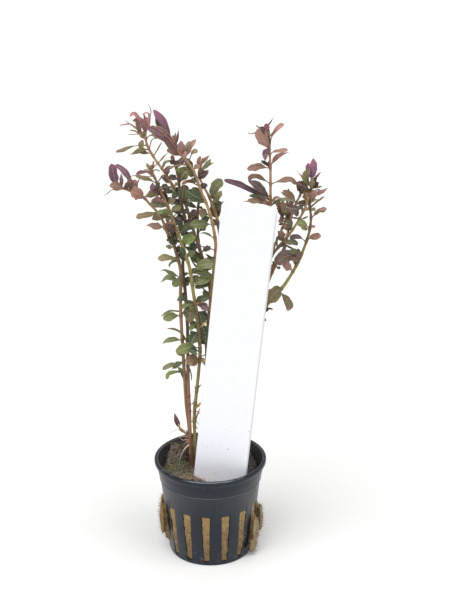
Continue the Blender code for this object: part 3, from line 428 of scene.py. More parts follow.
STEMS["stem_red_middle"] = {"colour": "red", "route": (
    (173.5, 159, 3), (176, 167.6, 2.5), (178.2, 178.8, 2), (182.2, 207, 1), (185.4, 221, 1),
    (184.6, 240, 1.5), (183.6, 256, 1.8), (182.9, 268, 2), (185.7, 297, 1.6), (187.5, 328.6, 1),
    (187.9, 366, 0.5), (188.4, 388.6, -0.8), (189.5, 410, -1), (190, 429, -1), (190.6, 445.7, -1),
    (192.2, 460, -1), (193, 467, -1),
), "leaves": (
    (184, 188.6, 168.3, 3, 5.2, "moss blunt 60 0.05", (182, 177)),
    (203, 184.5, 185.6, -4, 3.9, "moss oval 65 0.05", (182.8, 195)),
), "sprigs": (
    (161, 172, 155.2, 0, 1.7, "ruby blunt", (172.8, 159)),
    (196, 171.6, 194, 4, 3, "dark"),
    (206, 172.6, 199.6, 5, 3, "umber"),
    (190, 188.4, 186.8, 4, 3, "umber"),
    (204, 189.6, 203.4, 4, 3, "dark round"),
    (214, 188.6, 209.4, 3, 2.8, "dark"),
    (199, 188, 197.6, 3, 2.6, "umber"),
    (396, 186.4, 399.4, -2, 0.4, "rust strap"),
    (404, 186.2, 407.2, -2, 0.4, "rust strap"),
    (411, 185.6, 414.2, -2, 0.4, "brown strap"),
    (164, 169.8, 160.6, -1, 1.9, "umber"),
    (165, 179.6, 161.6, -2, 2, "umber", (176.5, 163.4)),
    (166, 168, 168.6, 2, 1.2, "umber oval 50"),
    (173, 178.4, 167.6, -2, 1.4, "lime"),
    (185, 174.2, 184.4, 1, 1.8, "olive oval 55"),
    (196, 183, 184.8, -1, 2.2, "plum"),
    (194, 176, 187, 2, 2.2, "dark"),
    (200, 188.4, 193, 3, 2.6, "dark"),
    (208, 176, 206, -2, 2.1, "moss"),
    (206, 170.6, 205, 2, 0.8, "dark strap", (177, 203.2)),
    (209.5, 178, 211, -2, 1.6, "moss"),
    (222.5, 175.6, 223.6, -2, 1.8, "dark"),
    (222, 191, 223.4, -2, 2.6, "umber round", (187.5, 221.6)),
    (229, 177.4, 226.8, -2, 2.1, "moss"),
    (214, 173, 208.6, 5, 3.2, "umber"),
    (217, 176.4, 216, 4, 3, "dark"),
    (226, 170.4, 219, 5, 3, "umber"),
    (180, 168.2, 176.6, 4, 2.6, "umber"),
    (168, 184.6, 157.4, 4, 2.4, "umber"),
    (222, 178, 214, 3, 2.6, "moss"),
    (230, 191.4, 229.4, -3, 2.4, "moss", (188, 228)),
    (235, 180.6, 232.4, -2, 1.9, "dark"),
    (235.5, 189.4, 233.2, -2, 2, "dark"),
    (233, 178.6, 229.4, -3, 1.6, "umber"),
    (274, 188.6, 273.4, -2, 1.3, "green"),
    (282, 190.4, 277.6, -1, 2.6, "dark round"),
    (285.5, 189.6, 281.8, -2, 1.6, "moss"),
    (282, 181, 284, 2, 1.6, "brown"),
    (316, 160.8, 316.8, 4, 0.9, "sage strap 45", (181, 311.9), (172, 310.8), (165.5, 312.8)),
    (342, 167, 328.8, 4, 1.1, "olive strap 50", (181.5, 333.5), (177, 330.2), (172, 328.7)),
    (342.5, 177.6, 355, -2, 3.9, "moss pear", (183, 347.5)),
    (346, 190, 340.6, 2, 1.2, "olive"),
    (366, 191.6, 381, 2, 0.6, "sage strap"),
)}
STEMS["stem_olive_front"] = {"colour": "olive", "route": (
    (151.2, 165, -9), (152.3, 172.5, -9), (157.7, 184, -8.5), (167.5, 205.5, -7.5), (171, 213.6, -7),
    (176.4, 229, -6.5), (181.3, 242.7, -6), (189.8, 268.6, -5), (193, 290.6, -4.5), (196.4, 313, -4),
    (200, 348, -3), (198.7, 370.7, -2.5), (196.4, 393, -1.5), (194.4, 414, -0.5), (195, 445, 1),
    (195.4, 460, 1.5),
), "leaves": (
    (211.5, 135.4, 217, 6, 2.9, "olive spoon 50", (158, 212.6), (149.6, 214.6), (142, 215.8)),
    (241.5, 195.6, 237.4, -2, 4.3, "lime round", (188, 239.2)),
    (234, 190.5, 223.4, -3, 3.4, "dark oval 55 0.05"),
    (272, 214.3, 263.6, -2, 4.1, "green pear", (197, 268.3), (203.4, 264.6)),
    (347.5, 176.4, 352.6, -4, 4.4, "green blunt 84", (187, 347.8)),
), "sprigs": (
    (305, 190.4, 323, -4, 4.6, "moss oval 65", (190, 313)),
    (168, 153.9, 160.8, 0, 0.9, "ruby strap"),
    (190, 169.6, 186.6, 4, 2.6, "umber"),
    (193, 171.8, 191.4, 5, 2.2, "dark"),
    (178, 143.5, 169.6, 2, 1.9, "blush oval 55", (150, 172.4)),
    (206, 147.6, 203.4, 3, 2.3, "sage", (155, 204.6)),
    (262, 184.2, 254.8, 3, 2.6, "moss"),
    (274, 197, 268.6, 2, 2.6, "dark"),
    (282, 198.4, 275.4, 2, 2.6, "moss"),
    (308, 187.4, 300.6, 2, 2.8, "moss"),
    (314, 190.2, 306.4, -2, 2.6, "green"),
    (204, 171.5, 197.5, 5, 2.8, "umber"),
    (318, 190.6, 309, 3, 3.2, "umber"),
    (330, 190.4, 320.5, 3, 2.8, "moss"),
    (343, 190.4, 331, 3, 3, "dark"),
    (404, 199.2, 406.5, -2, 0.4, "rust strap"),
    (402, 191.8, 404.8, 1, 0.4, "rust strap"),
    (412, 200.2, 413.8, -2, 0.4, "ruby strap", (197, 411.4)),
    (418, 198.8, 424.4, -2, 0.4, "rust strap"),
    (421, 190.9, 421.8, 1, 0.4, "rust strap"),
    (426, 197.9, 428.8, -1, 0.4, "rust strap"),
    (170, 146.4, 163.2, -1, 1.3, "olive", (149.6, 168.6)),
    (169, 157.2, 163.8, 1, 0.6, "pink strap"),
    (172, 135.8, 174, 2, 1.4, "mauve blunt 55", (147, 171.8), (141, 172.3)),
    (171.5, 160, 171.4, 2, 0.7, "sage strap 50", (156, 169.8)),
    (183, 135.5, 175.8, -3, 1.9, "olive blunt 55", (151, 180.3), (144, 178.3)),
    (176, 129.4, 176.8, -2, 0.6, "pink strap 50", (143, 176.4), (135.6, 175.2)),
    (187.6, 168.4, 185.6, 3, 2.3, "moss"),
    (188, 155.4, 185, -3, 2.8, "dark"),
    (192, 168.6, 191, -2, 2.4, "umber oval 50"),
    (192.4, 153.4, 190.8, -2, 2.4, "umber oval 50"),
    (191.5, 152.7, 182.7, -2, 2.5, "purple oval 65", (156.6, 191.4), (153.3, 188)),
    (196, 145.4, 196.4, 2, 3, "olive", (156, 193.2)),
    (203, 155.6, 194.6, -3, 1.6, "mauve oval 65", (159, 199.5)),
    (207, 152.4, 204.8, 3, 3, "olive", (159, 204.2)),
    (205, 173.6, 198, 3, 2.6, "olive"),
    (216.5, 151.4, 219, 2, 3.4, "olive", (161, 216)),
    (213.5, 181, 206.4, 2, 2.6, "green oval 60 0.05", (174.5, 209.6)),
    (214.5, 164.5, 209, -2, 2.4, "green round"),
    (213, 156.4, 212.6, -3, 1.9, "lime", (164, 211.6)),
    (217, 182.4, 219.8, -2, 1.3, "umber"),
    (217.5, 181.6, 210.3, 1, 0.6, "umber strap"),
    (230, 166, 224.4, -4, 3.4, "umber oval 55 0.05"),
    (243, 168, 238, 10, 3.2, "dark oval 55 0.1"),
    (256.5, 180, 247, -2, 2.3, "dark"),
    (262, 179, 252, 4, 2.6, "dark"),
    (217, 165.6, 220.4, 3, 2.6, "olive"),
    (204, 160.8, 190.6, 3, 2.4, "umber"),
    (198, 150.8, 201.4, 4, 2.4, "mauve"),
    (236, 170.6, 230.6, 5, 2.8, "umber"),
    (250, 176.2, 250.6, 4, 2.2, "dark"),
    (258, 195, 251, 3, 2.6, "green"),
    (273, 213.8, 278.6, 2, 2.7, "green", (203, 273)),
    (303, 177, 300.8, -3, 1.8, "dark blunt 50", (186, 300.6), (181, 297.6)),
    (305, 181.6, 308.8, -2, 2.2, "green", (187, 304.5)),
    (302, 211, 297.8, -2, 2.9, "dark round 60 0.15"),
    (303.5, 205.6, 301.7, -4, 0.8, "husk strap", (198.5, 302.6)),
    (304, 191.2, 304.2, -4, 0.7, "husk strap"),
    (304.5, 208, 311, -3, 2.7, "plum", (202.5, 305.5)),
    (310, 201.4, 327, 1, 3.6, "dark oval 65", (200.8, 317)),
    (312, 207, 318, 3, 3, "dark"),
    (323, 188.8, 330.6, -2, 1.9, "green", (193.5, 325.6)),
    (332, 190.6, 344.2, -3, 4, "dark oval 65", (193.5, 338)),
    (322, 206, 344.6, 2, 4, "dark", (204.5, 332)),
    (334, 206.4, 332, 2, 2.4, "dark"),
    (328, 206.8, 319.8, 0, 1.2, "straw blunt"),
    (285, 212, 276.6, 2, 3.2, "green oval 60 0.05"),
    (351, 197.6, 354.8, -4, 2.1, "dark", (191.4, 349.6)),
    (358.5, 185.6, 360.4, -3, 5, "husk round"),
    (362, 189.6, 365, -4, 2.4, "husk"),
    (358, 205, 362, -3, 2.1, "husk limp"),
    (359, 204.6, 365.8, -2, 1.3, "husk limp", (203.6, 360.6)),
    (357, 206.2, 354.6, 0, 0.5, "dark strap", (203, 355.6)),
    (388, 201.6, 384, -2, 0.7, "brown lance"),
    (391, 194.2, 386, 1, 0.6, "rust lance"),
    (422, 199.9, 408.6, -2, 0.8, "brown strap", (197, 416)),
    (408, 200.6, 402.4, -2, 1.3, "straw"),
)}
STEMS["stem_right_tall"] = {"colour": "tan", "route": (
    (268.6, 131, 5), (269.5, 150, 5), (270.4, 168, 5), (270.4, 198, 4.5), (269, 215, 4.5), (267, 240, 4),
    (261, 300, 3.5), (250, 360, 3), (236, 420, 2.5), (225, 461, 2.5),
), "leaves": (
    (150, 257.8, 129, -3, 5.4, "dusty pear 70 0.04", (265.4, 143.5), (261.4, 136)),
    (145, 283.9, 123.5, 3, 1.9, "pink spoon", (271.3, 138), (275, 131), (280, 126.3)),
    (154.5, 288, 149.6, 3, 1.8, "dusty blunt 50", (273, 152), (280, 150.9)),
    (165, 288.9, 151.8, -2, 2.2, "dusty drawn 50", (275.5, 158.8), (281, 155.2)),
    (168, 247, 169.2, -2, 2.9, "brown blunt 55", (262, 167), (255, 167.4)),
    (183.5, 248.3, 180.6, 3, 2.2, "brown blunt 50", (264, 179.8), (257.5, 176.3), (251.5, 176.8)),
    (197, 248.3, 180.8, -3, 3.1, "ash", (262.5, 190.5), (255.5, 184.6)),
    (184, 297, 184.6, 2, 2.2, "brown blunt 50", (279, 181.3), (287, 179.5), (292.6, 180.3)),
    (200.5, 224, 179.6, -3, 2.3, "violet blunt", (259, 194), (246, 187.3), (234, 182.6)),
), "sprigs": (
    (133.5, 266, 123.4, 0, 2, "ruby blunt 65", (267.2, 129.5)),
    (133, 273.8, 116.9, 1, 0.9, "plum drawn", (268.4, 126), (271, 121.5)),
    (147, 265.2, 161.4, -3, 2.4, "violet lance 75", (265.4, 154)),
    (149, 264.4, 131, -1, 2, "moss oval 70", (268.2, 141)),
    (141, 261, 126.8, -5, 1.9, "umber spoon", (265.6, 133.5)),
    (137, 255.8, 125.2, 1, 0.9, "brown strap 50", (262.5, 129.4), (258.5, 127.3)),
    (141, 248, 131.6, 1, 0.5, "dark strap 50", (258, 133.2), (252, 133.7), (249, 133.4)),
    (137, 276, 129.6, 1, 0.8, "brown strap 50", (270.8, 135.4)),
    (167.5, 261, 160.4, 1, 1.4, "umber", (266, 163.6)),
    (167, 260.4, 163.6, 0, 0.7, "umber strap", (264, 162)),
    (167.2, 268.8, 160.4, 1, 1.2, "rust"),
    (199, 249, 195.6, 5, 1.7, "dark blunt"),
    (200, 256, 189, -1, 3.4, "ash", (264, 195.5)),
    (202.5, 252, 197.4, 3, 2, "moss"),
    (203.4, 263, 202.4, -3, 2.4, "brown"),
    (204.5, 247.4, 200, 1, 2.4, "olive blunt 55", (260, 201.4)),
    (204.8, 243, 201.4, 2, 0.6, "olive strap 45", (250, 201.6)),
    (203, 280.6, 197.6, -2, 1.5, "brown oval 50", (275.5, 198.3)),
    (205.5, 295, 201, -1, 1.3, "sage strap 50", (276, 201.6), (284, 199.3)),
)}
STEMS["stem_right_upper"] = {"colour": "tan", "route": (
    (300.7, 194.4, 10), (295.4, 205, 9.5), (290, 222, 9), (285.4, 243.6, 8), (281.4, 253, 7.5), (275, 266, 7),
    (265, 290, 6.5), (252, 330, 6.3), (241, 370, 6.3), (230, 420, 6.5), (220.5, 458, 7),
), "leaves": (
    (195.5, 298.6, 181.4, -1, 4, "umber oval 65", (301.6, 190)),
), "sprigs": (
    (202.5, 282.6, 190.4, -2, 3, "brown", (290.5, 196.4)),
    (204, 306.8, 202, 2, 2.1, "umber oval 55"),
    (207, 297, 216.6, 3, 2.4, "moss"),
    (225, 291.6, 221, -1, 1.5, "green"),
    (226, 283.5, 226, 2, 2.2, "brown"),
    (266, 280.2, 268.8, -2, 1.3, "dark spoon 55", (276.5, 266.5)),
    (268, 273.2, 261, 1, 1.2, "dark strap"),
    (272, 272, 264.6, -2, 1.7, "rust"),
)}
STEMS["stem_right_middle"] = {"colour": "brown", "route": (
    (308.3, 197, -10), (305, 208, -9), (297, 223, -7.5), (287.7, 236.4, -6), (279.2, 246.3, -5),
    (271, 258, -4), (259, 290, -2.5), (247, 330, -1), (236, 380, 0.3), (226, 430, 1.7), (217.5, 463, 2.5),
), "leaves": (), "sprigs": (
    (212, 283, 205.4, -3, 3.6, "umber pear", (300.5, 208), (292, 208.8)),
    (210, 299, 204, 1, 1.8, "moss"),
    (218, 291, 217.4, -3, 1, "dark strap 50"),
    (219, 307.8, 216.3, -2, 0.9, "dark blunt 50"),
    (234.5, 289.4, 221, 2, 0.9, "umber strap"),
    (229, 287, 219.4, -2, 2.5, "moss"),
    (238, 293.4, 243.6, -2, 2.2, "moss", (288, 241)),
    (240, 278.2, 231.2, -2, 3, "brown round"),
    (240.5, 277.4, 237.4, -3, 1.4, "dark"),
    (239, 298.2, 244.2, -2, 2.2, "dark blunt 55", (290, 241)),
    (246.5, 296.6, 250.6, -3, 1, "dark strap 50", (285, 245.2), (290, 247.6)),
    (247.5, 276.5, 236.6, -3, 0.8, "dark strap", (276.8, 243.4)),
    (244, 283.6, 252, -3, 1.3, "umber strap", (284.8, 245)),
)}
STEMS["stem_right_inner"] = {"colour": "brown", "route": (
    (287, 192, 18), (287.2, 205, 17.5), (286.3, 219, 17), (281, 231, 16), (273, 250, 15), (262, 285, 14),
    (250, 330, 13), (238, 380, 12.3), (226, 430, 11.8), (217.5, 455, 11.5),
), "leaves": (), "sprigs": (
    (192.5, 288.4, 188.6, 0, 1, "dark"),
    (196, 280, 191, -2, 1, "sage drawn"),
    (204, 295, 199.6, -2, 2.6, "brown"),
    (210, 275, 200.6, -3, 2.9, "brown"),
    (212, 276.6, 208, 1, 2.6, "rust"),
    (217, 282, 200.4, -6, 2.6, "olive", (284.4, 209)),
    (215, 295.6, 207, 2, 3.4, "umber"),
    (219, 279.6, 217, 1, 2, "moss"),
    (220, 292.6, 214.4, -2, 2.8, "umber"),
    (221, 278.4, 221.4, -2, 2.3, "brown blunt"),
    (228, 292.8, 228.6, -2, 2, "umber"),
    (215, 277.6, 211.4, -2, 3, "umber"),
    (224, 278.6, 224.4, -1, 1, "umber strap"),
)}
STEMS["stem_right_outer"] = {"colour": "tan", "route": (
    (312, 178, 6), (311, 190, 5.5), (309.6, 204.6, 5), (311, 218, 4), (309, 233, 3), (303.3, 250, 2),
    (296.6, 265, 1), (288.6, 278.8, 0), (281.3, 289, -0.8), (272, 299, -1.4), (262, 313, -2), (250, 345, -3),
    (238, 385, -3.5), (229, 430, -3), (222, 464, -2.5),
), "leaves": (
    (180, 313.4, 158.3, -1, 2.9, "purple oval 70", (313.3, 171)),
    (195, 328.7, 186.7, 3, 1.9, "pink drawn 55", (318, 193.6), (322.5, 191.8), (325.6, 189.6)),
    (203.5, 306, 188.4, 1, 4.2, "rust round 65 0.03", (308, 196)),
    (217.5, 326.9, 208.8, 2, 2.4, "lime blunt 40", (315.5, 213.8), (320, 210.8)),
    (227.5, 296.4, 222.6, 1, 2.6, "green blunt", (303.5, 223.8)),
    (239, 321, 236, -3, 2.7, "dusty blunt", (314, 236.6)),
    (257.5, 276, 264.4, -5, 5, "ash blunt 60 0.06", (292, 255.4), (283, 258)),
    (288.5, 267.2, 303, -5, 5.4, "olive round 65", (276.2, 291.8)),
    (291, 289, 311, 3, 3.3, "olive blunt 65", (284.4, 297), (288.6, 303)),
), "sprigs": (
    (179, 308.2, 163, -2, 2.7, "purple oval 70", (309, 171)),
    (187, 309.4, 167.8, -3, 2.6, "olive oval 65", (305.8, 178)),
    (217.6, 326.6, 208.2, 1, 1.5, "pink paddle 45", (315.5, 213.4), (320, 210.2)),
    (186.5, 296.4, 170.2, 1, 0.8, "sage drawn", (304.5, 182), (301.8, 176.6)),
    (190, 296.2, 182.5, -3, 3, "umber", (303.5, 186)),
    (191, 312, 177.4, -3, 2.1, "olive oval 70", (312.3, 184)),
    (186, 317.3, 176.8, -3, 1.7, "umber round"),
    (183, 321, 171.7, 2, 1.2, "purple", (316, 177.4)),
    (188.5, 321.9, 186.2, -3, 1, "brown blunt 55"),
    (190.5, 320, 189.4, 1, 0.6, "dark strap 55"),
    (202, 315.4, 189.8, -2, 2.9, "brown", (312.6, 196.4)),
    (201, 305.2, 193, -4, 2.4, "brown"),
    (203, 317, 199.1, -2, 1, "sage oval 55"),
    (204.4, 300.2, 203.4, 0, 2, "umber oval 55"),
    (208, 324.3, 196.5, -3, 1.2, "olive blunt 50", (316.5, 202.2)),
    (207, 315.2, 203, 1, 0.7, "olive strap 50"),
    (208.6, 315.4, 210.6, -2, 2, "olive oval 55"),
    (208, 304.6, 209.6, -1, 1.8, "olive oval 55"),
    (227, 316.2, 225.9, 2, 1.5, "pink drawn 50"),
    (241.5, 289.4, 238.4, 3, 2.1, "plum pear 55", (300.5, 237.8), (295.5, 236.6)),
    (254, 294.2, 249.6, 2, 1.9, "dark round 55"),
    (255, 298, 248.6, -1, 1.5, "dark oval 55"),
    (266, 295.2, 256.2, 1, 1.6, "lime lance"),
    (271.5, 283, 263.4, -3, 3.5, "dusty pear", (289, 267.8)),
    (255.5, 289, 251.2, -7, 2.3, "moss", (296, 252)),
    (262, 299, 251.6, -5, 1.8, "mauve", (299, 257)),
    (263, 288.6, 258.8, -4, 2.4, "mauve", (296, 259)),
    (229, 300.6, 227.2, -1, 1.9, "olive"),
    (188, 318.6, 182.4, -2, 2.4, "umber"),
    (306, 266, 312, -2, 1.7, "moss"),
    (308, 273.2, 309.4, -3, 0.9, "moss"),
    (316.5, 265.8, 321, -3, 1.4, "dark"),
)}

# A small side shoot on one stem, and a pale root that hangs from its foot.
SIDE_SHOOT_STEM = "stem_far_left"
SIDE_SHOOT = ((189.3, 436.5, 2.5), (184, 432, 0.5), (180.5, 428.5, -1), (178.5, 424, -1.5))
SIDE_SHOOT_RADIUS = 0.00042
SIDE_SHOOT_COLOUR = "peach"
PALE_ROOT = ((189.2, 444.4, 1.6), (185.4, 448.2, 1.4), (182.3, 453, 2.6), (179.6, 460.3, 4.0))
ROOT_RADIUS = 0.00034
ROOT_STEP = 0.0003
ROOT_TAPER = 0.5
ROOT_UNEVEN = 0.2
ROOT_NOISE = 900
ROOT_SIDES = 10
FINE_ROOT_SIDES = 8
# Finer roots and dead bits about the stems' feet: their thickness at the foot in mm, colour and bends.
FINE_ROOTS = (
    (0.20, "root", (190.4, 445, 0.4), (189.9, 449, -0.4), (189.3, 453.4, -0.6)),
    (0.36, "leaf_peach", (189.4, 436.8, 2.2), (185.5, 436.6, 3.0), (182.0, 436.3, 3.8), (179.3, 437.8, 4.4)),
    (0.34, "leaf_peach", (189.6, 440.6, 2.0), (186.2, 439.4, 2.8), (183.4, 440.2, 3.6), (180.6, 438.8, 4.4)),
    (0.32, "leaf_peach", (189.6, 442.6, 1.8), (187.2, 441.2, 3.0), (184.8, 442.8, 4.4)),
    (0.20, "leaf_rust", (189.2, 438.8, 2.2), (187.2, 438.2, 3.2), (185.0, 438.8, 4.2)),
    (0.36, "leaf_peach", (190.6, 443.8, 0.4), (190.9, 446.6, 0.0), (191.0, 450.0, -0.4)),
    (0.30, "leaf_dark", (188.2, 433.6, 2.0), (187.0, 431.8, 1.4), (186.4, 430.0, 1.2)),
    (0.12, "leaf_dark", (187.6, 431.4, 1.6), (178.6, 429.6, 0.4), (170, 432.7, -0.4)),
    (0.16, "leaf_rust", (196.0, 447, 1.2), (197.2, 452, 0.4), (196.8, 457, 0.2)),
)
# Grit stuck to the label's face: across and down the picture in pixels, and its size in mm.
LABEL_SPECKS = (
    (202.5, 443.6, 0.16), (202.3, 445.6, 0.22), (202.7, 448, 0.2), (203.3, 450.4, 0.18), (205.6, 446.4, 0.2),
    (207.4, 446.8, 0.22), (213, 443.6, 0.24), (212.6, 449.3, 0.16), (214.4, 449.2, 0.18), (228, 449, 0.42),
    (195.9, 453, 0.2), (242.5, 457.5, 0.2), (207, 455.5, 0.18), (204.6, 469.5, 0.22), (206, 469.6, 0.16),
    (213.8, 473.5, 0.28), (215.4, 473.2, 0.28), (217.5, 472, 0.18), (243, 474, 0.18), (249, 431.2, 0.38),
    (228.6, 438.6, 0.12), (221.4, 461.0, 0.12),
)

# Leaf colours as seen in soft light, in 0 to 255 steps: foot, middle, tip, edge and underside.
LEAF_COLOURS = {
    "olive": ((96, 90, 56), (114, 106, 70), (136, 114, 86), (146, 120, 100), (128, 114, 90)),
    "green": ((78, 86, 48), (94, 104, 58), (104, 112, 67), (126, 112, 80), (112, 116, 86)),
    "lime": ((84, 104, 50), (104, 123, 62), (114, 129, 68), (128, 130, 78), (120, 132, 88)),
    "dark": ((38, 50, 30), (48, 63, 38), (60, 75, 45), (68, 64, 46), (68, 78, 53)),
    "moss": ((58, 60, 34), (76, 76, 44), (94, 88, 56), (100, 80, 58), (94, 90, 62)),
    "sage": ((98, 104, 68), (112, 115, 82), (124, 122, 95), (122, 114, 86), (122, 121, 93)),
    "pink": ((136, 97, 91), (153, 110, 109), (166, 116, 117), (168, 127, 122), (150, 109, 107)),
    "ruby": ((112, 62, 62), (142, 78, 84), (158, 84, 94), (150, 90, 90), (140, 84, 84)),
    "purple": ((108, 70, 87), (120, 79, 107), (147, 89, 114), (100, 62, 83), (132, 93, 109)),
    "plum": ((86, 62, 62), (97, 69, 79), (110, 77, 91), (119, 91, 91), (111, 85, 93)),
    "mauve": ((112, 80, 72), (116, 84, 76), (132, 94, 86), (94, 66, 60), (114, 88, 78)),
    "brown": ((98, 74, 58), (123, 91, 77), (142, 104, 92), (146, 112, 98), (128, 101, 86)),
    "rust": ((100, 66, 46), (118, 78, 56), (126, 84, 66), (140, 104, 76), (120, 88, 66)),
    "violet": ((74, 50, 62), (88, 57, 76), (108, 67, 88), (76, 52, 64), (98, 70, 82)),
    "blush": ((130, 104, 90), (146, 118, 106), (156, 130, 120), (150, 124, 110), (140, 114, 100)),
    "dusty": ((124, 92, 80), (146, 106, 98), (154, 108, 104), (110, 80, 70), (138, 106, 98)),
    "ash": ((80, 64, 58), (96, 78, 74), (112, 90, 88), (74, 58, 54), (104, 86, 82)),
    "peach": ((194, 154, 108), (222, 184, 134), (232, 198, 152), (202, 164, 118), (212, 174, 128)),
    "umber": ((44, 34, 28), (58, 42, 37), (72, 52, 45), (78, 62, 47), (76, 60, 50)),
    "husk": ((104, 84, 58), (130, 106, 78), (146, 120, 92), (112, 88, 62), (136, 112, 84)),
    "straw": ((150, 128, 78), (186, 156, 104), (198, 170, 120), (168, 140, 94), (180, 150, 104)),
}
# The material slot of each leaf colour that has none of its own name.
LEAF_SLOTS = {
    "moss": "dark", "sage": "green", "mauve": "plum", "rust": "brown", "violet": "purple", "blush": "pink",
    "dusty": "pink", "ash": "plum", "umber": "brown",
}
# Stem colours from the tip, at 0, to the foot, at 1: each stop's place, then its red, green and blue.
STEM_COLOURS = {
    "tan": ((0, 156, 116, 96), (0.22, 158, 122, 84), (0.6, 136, 104, 70), (1, 112, 86, 60)),
    "bark": (
        (0, 178, 144, 108), (0.1, 172, 138, 98), (0.2, 108, 82, 61), (0.6, 120, 94, 66), (1, 112, 86, 60),
    ),
    "reed": (
        (0, 150, 110, 88), (0.18, 150, 112, 76), (0.28, 114, 88, 64), (0.45, 142, 112, 80),
        (0.7, 140, 110, 78), (0.9, 142, 116, 76), (1, 100, 76, 54),
    ),
    "khaki": (
        (0, 124, 88, 66), (0.12, 110, 80, 58), (0.21, 130, 112, 66), (0.3, 144, 134, 76), (0.5, 142, 130, 74),
        (1, 118, 98, 64),
    ),
    "twig": ((0, 136, 110, 74), (0.12, 152, 128, 84), (0.24, 98, 72, 54), (1, 96, 72, 56)),
    "orange": ((0, 172, 134, 104), (0.22, 174, 142, 98), (0.6, 142, 114, 76), (1, 108, 84, 60)),
    "red": (
        (0, 112, 76, 64), (0.22, 102, 74, 56), (0.58, 92, 68, 52), (0.67, 138, 92, 76), (0.76, 148, 100, 82),
        (0.82, 150, 112, 80), (0.93, 122, 80, 64), (0.965, 98, 72, 52),
    ),
    "brown": ((0, 108, 80, 62), (0.22, 88, 66, 52), (0.6, 94, 70, 56), (1, 104, 78, 60)),
    "olive": (
        (0, 146, 110, 86), (0.12, 150, 112, 72), (0.22, 146, 134, 74), (0.36, 140, 130, 72),
        (0.55, 122, 104, 64), (0.78, 144, 130, 82), (0.88, 174, 164, 104), (0.93, 150, 130, 86),
        (0.97, 104, 76, 52),
    ),
}
# The look of each stem that differs from its material slot.
STEM_LOOKS = {
    "stem_tall_left": "bark", "stem_far_left": "reed", "stem_right_outer": "khaki",
    "stem_right_middle": "twig", "stem_right_inner": "twig",
}
# The wool's colours by the shade of its fibres: each stop's place, then its red, green and blue.
WOOL_COLOURS = {
    "tan": ((0.25, 80, 64, 42), (0.45, 133, 109, 75), (0.6, 158, 132, 95), (0.8, 190, 168, 130)),
    "grey": ((0.25, 94, 84, 64), (0.5, 148, 134, 106), (0.8, 200, 188, 160)),
    "dun": ((0.25, 78, 62, 52), (0.5, 136, 112, 94), (0.8, 192, 168, 146)),
    "brown": ((0.25, 60, 54, 50), (0.45, 104, 93, 85), (0.62, 134, 121, 110), (0.85, 178, 164, 148)),
    "moss": ((0.25, 46, 46, 34), (0.45, 84, 84, 64), (0.62, 108, 106, 82), (0.85, 152, 144, 116)),
    "soil": ((0.25, 52, 52, 55), (0.5, 78, 77, 79), (0.8, 136, 131, 124)),
}
# Patches on the wool's top, in the order in which they are laid: the colour, where the middle is across and
# towards the back, how far the patch is whole, and where it ends.
WOOL_PATCHES = (
    ("moss", -0.0150, -0.0015, 0.0045, 0.0085),
    ("soil", 0.0180, 0.0020, 0.0100, 0.0150),
    ("dun", -0.0085, -0.0140, 0.0035, 0.0070),
)
# Painted shade in the hollow at the stems' feet: where it is, as for a patch, and its strength.
WOOL_HOLLOW_SHADE = (-0.0100, 0.0085, 0.0018, 0.0055)
WOOL_HOLLOW_SHADE_STRENGTH = 0.88
# Colours laid over the wool's own: painted shade in its hollow, crevices and cracks, and colours on its
# clumps and down and up its slots.
WOOL_STAINS_AND_SHADE = {
    "hollow_shade": (50, 42, 36), "crevice_shade": (44, 38, 33), "clump": (98, 86, 62), "crack_shade": (88, 72, 50),
    "low": (98, 80, 58), "high": (176, 142, 86),
}
# Shades of the pot's plastic and the label's, as a shader takes them.
PLASTIC = {
    "deep": (0.002, 0.004, 0.009, 1),
    "pale": (0.005, 0.008, 0.014, 1),
    "scratch": (0.10, 0.11, 0.13, 1),
    # Painted light: the pot's inside, lighter against its shade.
    "inside": (0.070, 0.074, 0.084, 1),
    # Rubbing on the rim, partly a painted highlight.
    "worn": (0.30, 0.31, 0.33, 1),
    # A painted highlight along the rim's front edge.
    "glint": (0.20, 0.21, 0.23, 1),
    # A painted highlight along the band's foot.
    "step": (0.13, 0.15, 0.18, 1),
    "scuff": (0.075, 0.088, 0.108, 1),
    "dust": (0.20, 0.20, 0.20, 1),
}
SHEET = {
    "dull": (0.80, 0.81, 0.875, 1),
    "bright": (0.86, 0.87, 0.925, 1),
    "speck": (0.34, 0.33, 0.32, 1),
    # Painted shade at the label's cut edges.
    "edge": (0.44, 0.43, 0.42, 1),
    "low_streaks": (0.50, 0.50, 0.48, 1),
}
# How light and how warm leaves are: the least, and how much more the brightest or warmest one has.
LEAF_LIGHT = (0.71, 0.60)
LEAF_HUE = (0.485, 0.03)
# Colours that shadows and veins of leaves and stems are mixed with, a stem's pale flecks, the pale root's two
# shades, and the shadow on loose strands.
LEAF_SHADOW = (0.52, 0.50, 0.48, 1)
LEAF_VEIN = (0.62, 0.44, 0.36, 1)
STEM_SHADOW = (0.42, 0.36, 0.34, 1)
STEM_FLECK = (190, 165, 110)
ROOT_SHADES = ((236, 224, 196), (250, 245, 232))
STRAND_SHADOW = (70, 58, 40)
# The colours of loose strands and grains, from the darkest to the lightest.
STRAND_COLOURS = {
    "wool_fibre": ((0.1, 124, 102, 70), (0.5, 178, 150, 108), (0.9, 214, 194, 154)),
    "top_fibre": ((0.1, 58, 52, 42), (0.5, 116, 104, 78), (0.9, 188, 172, 136)),
    "crumb": ((0.1, 44, 40, 36), (0.5, 92, 82, 66), (0.9, 150, 134, 108)),
}


def linear(colour):
    """A colour of 0 to 255 steps as the linear values that a shader takes."""
    return (*((step / 255) ** 2.2 for step in colour), 1)


def place(across, down, depth):
    """The point seen at this pixel of the picture, this many millimetres behind the pot's axis."""
    ray = Vector((across - CENTRE_PIXEL[0], FOCAL_PIXELS, CENTRE_PIXEL[1] - down))
    ray.rotate(Euler((-EYE_PITCH, 0, 0)))
    return EYE + ray * ((depth * MM - EYE.y) / ray.y)


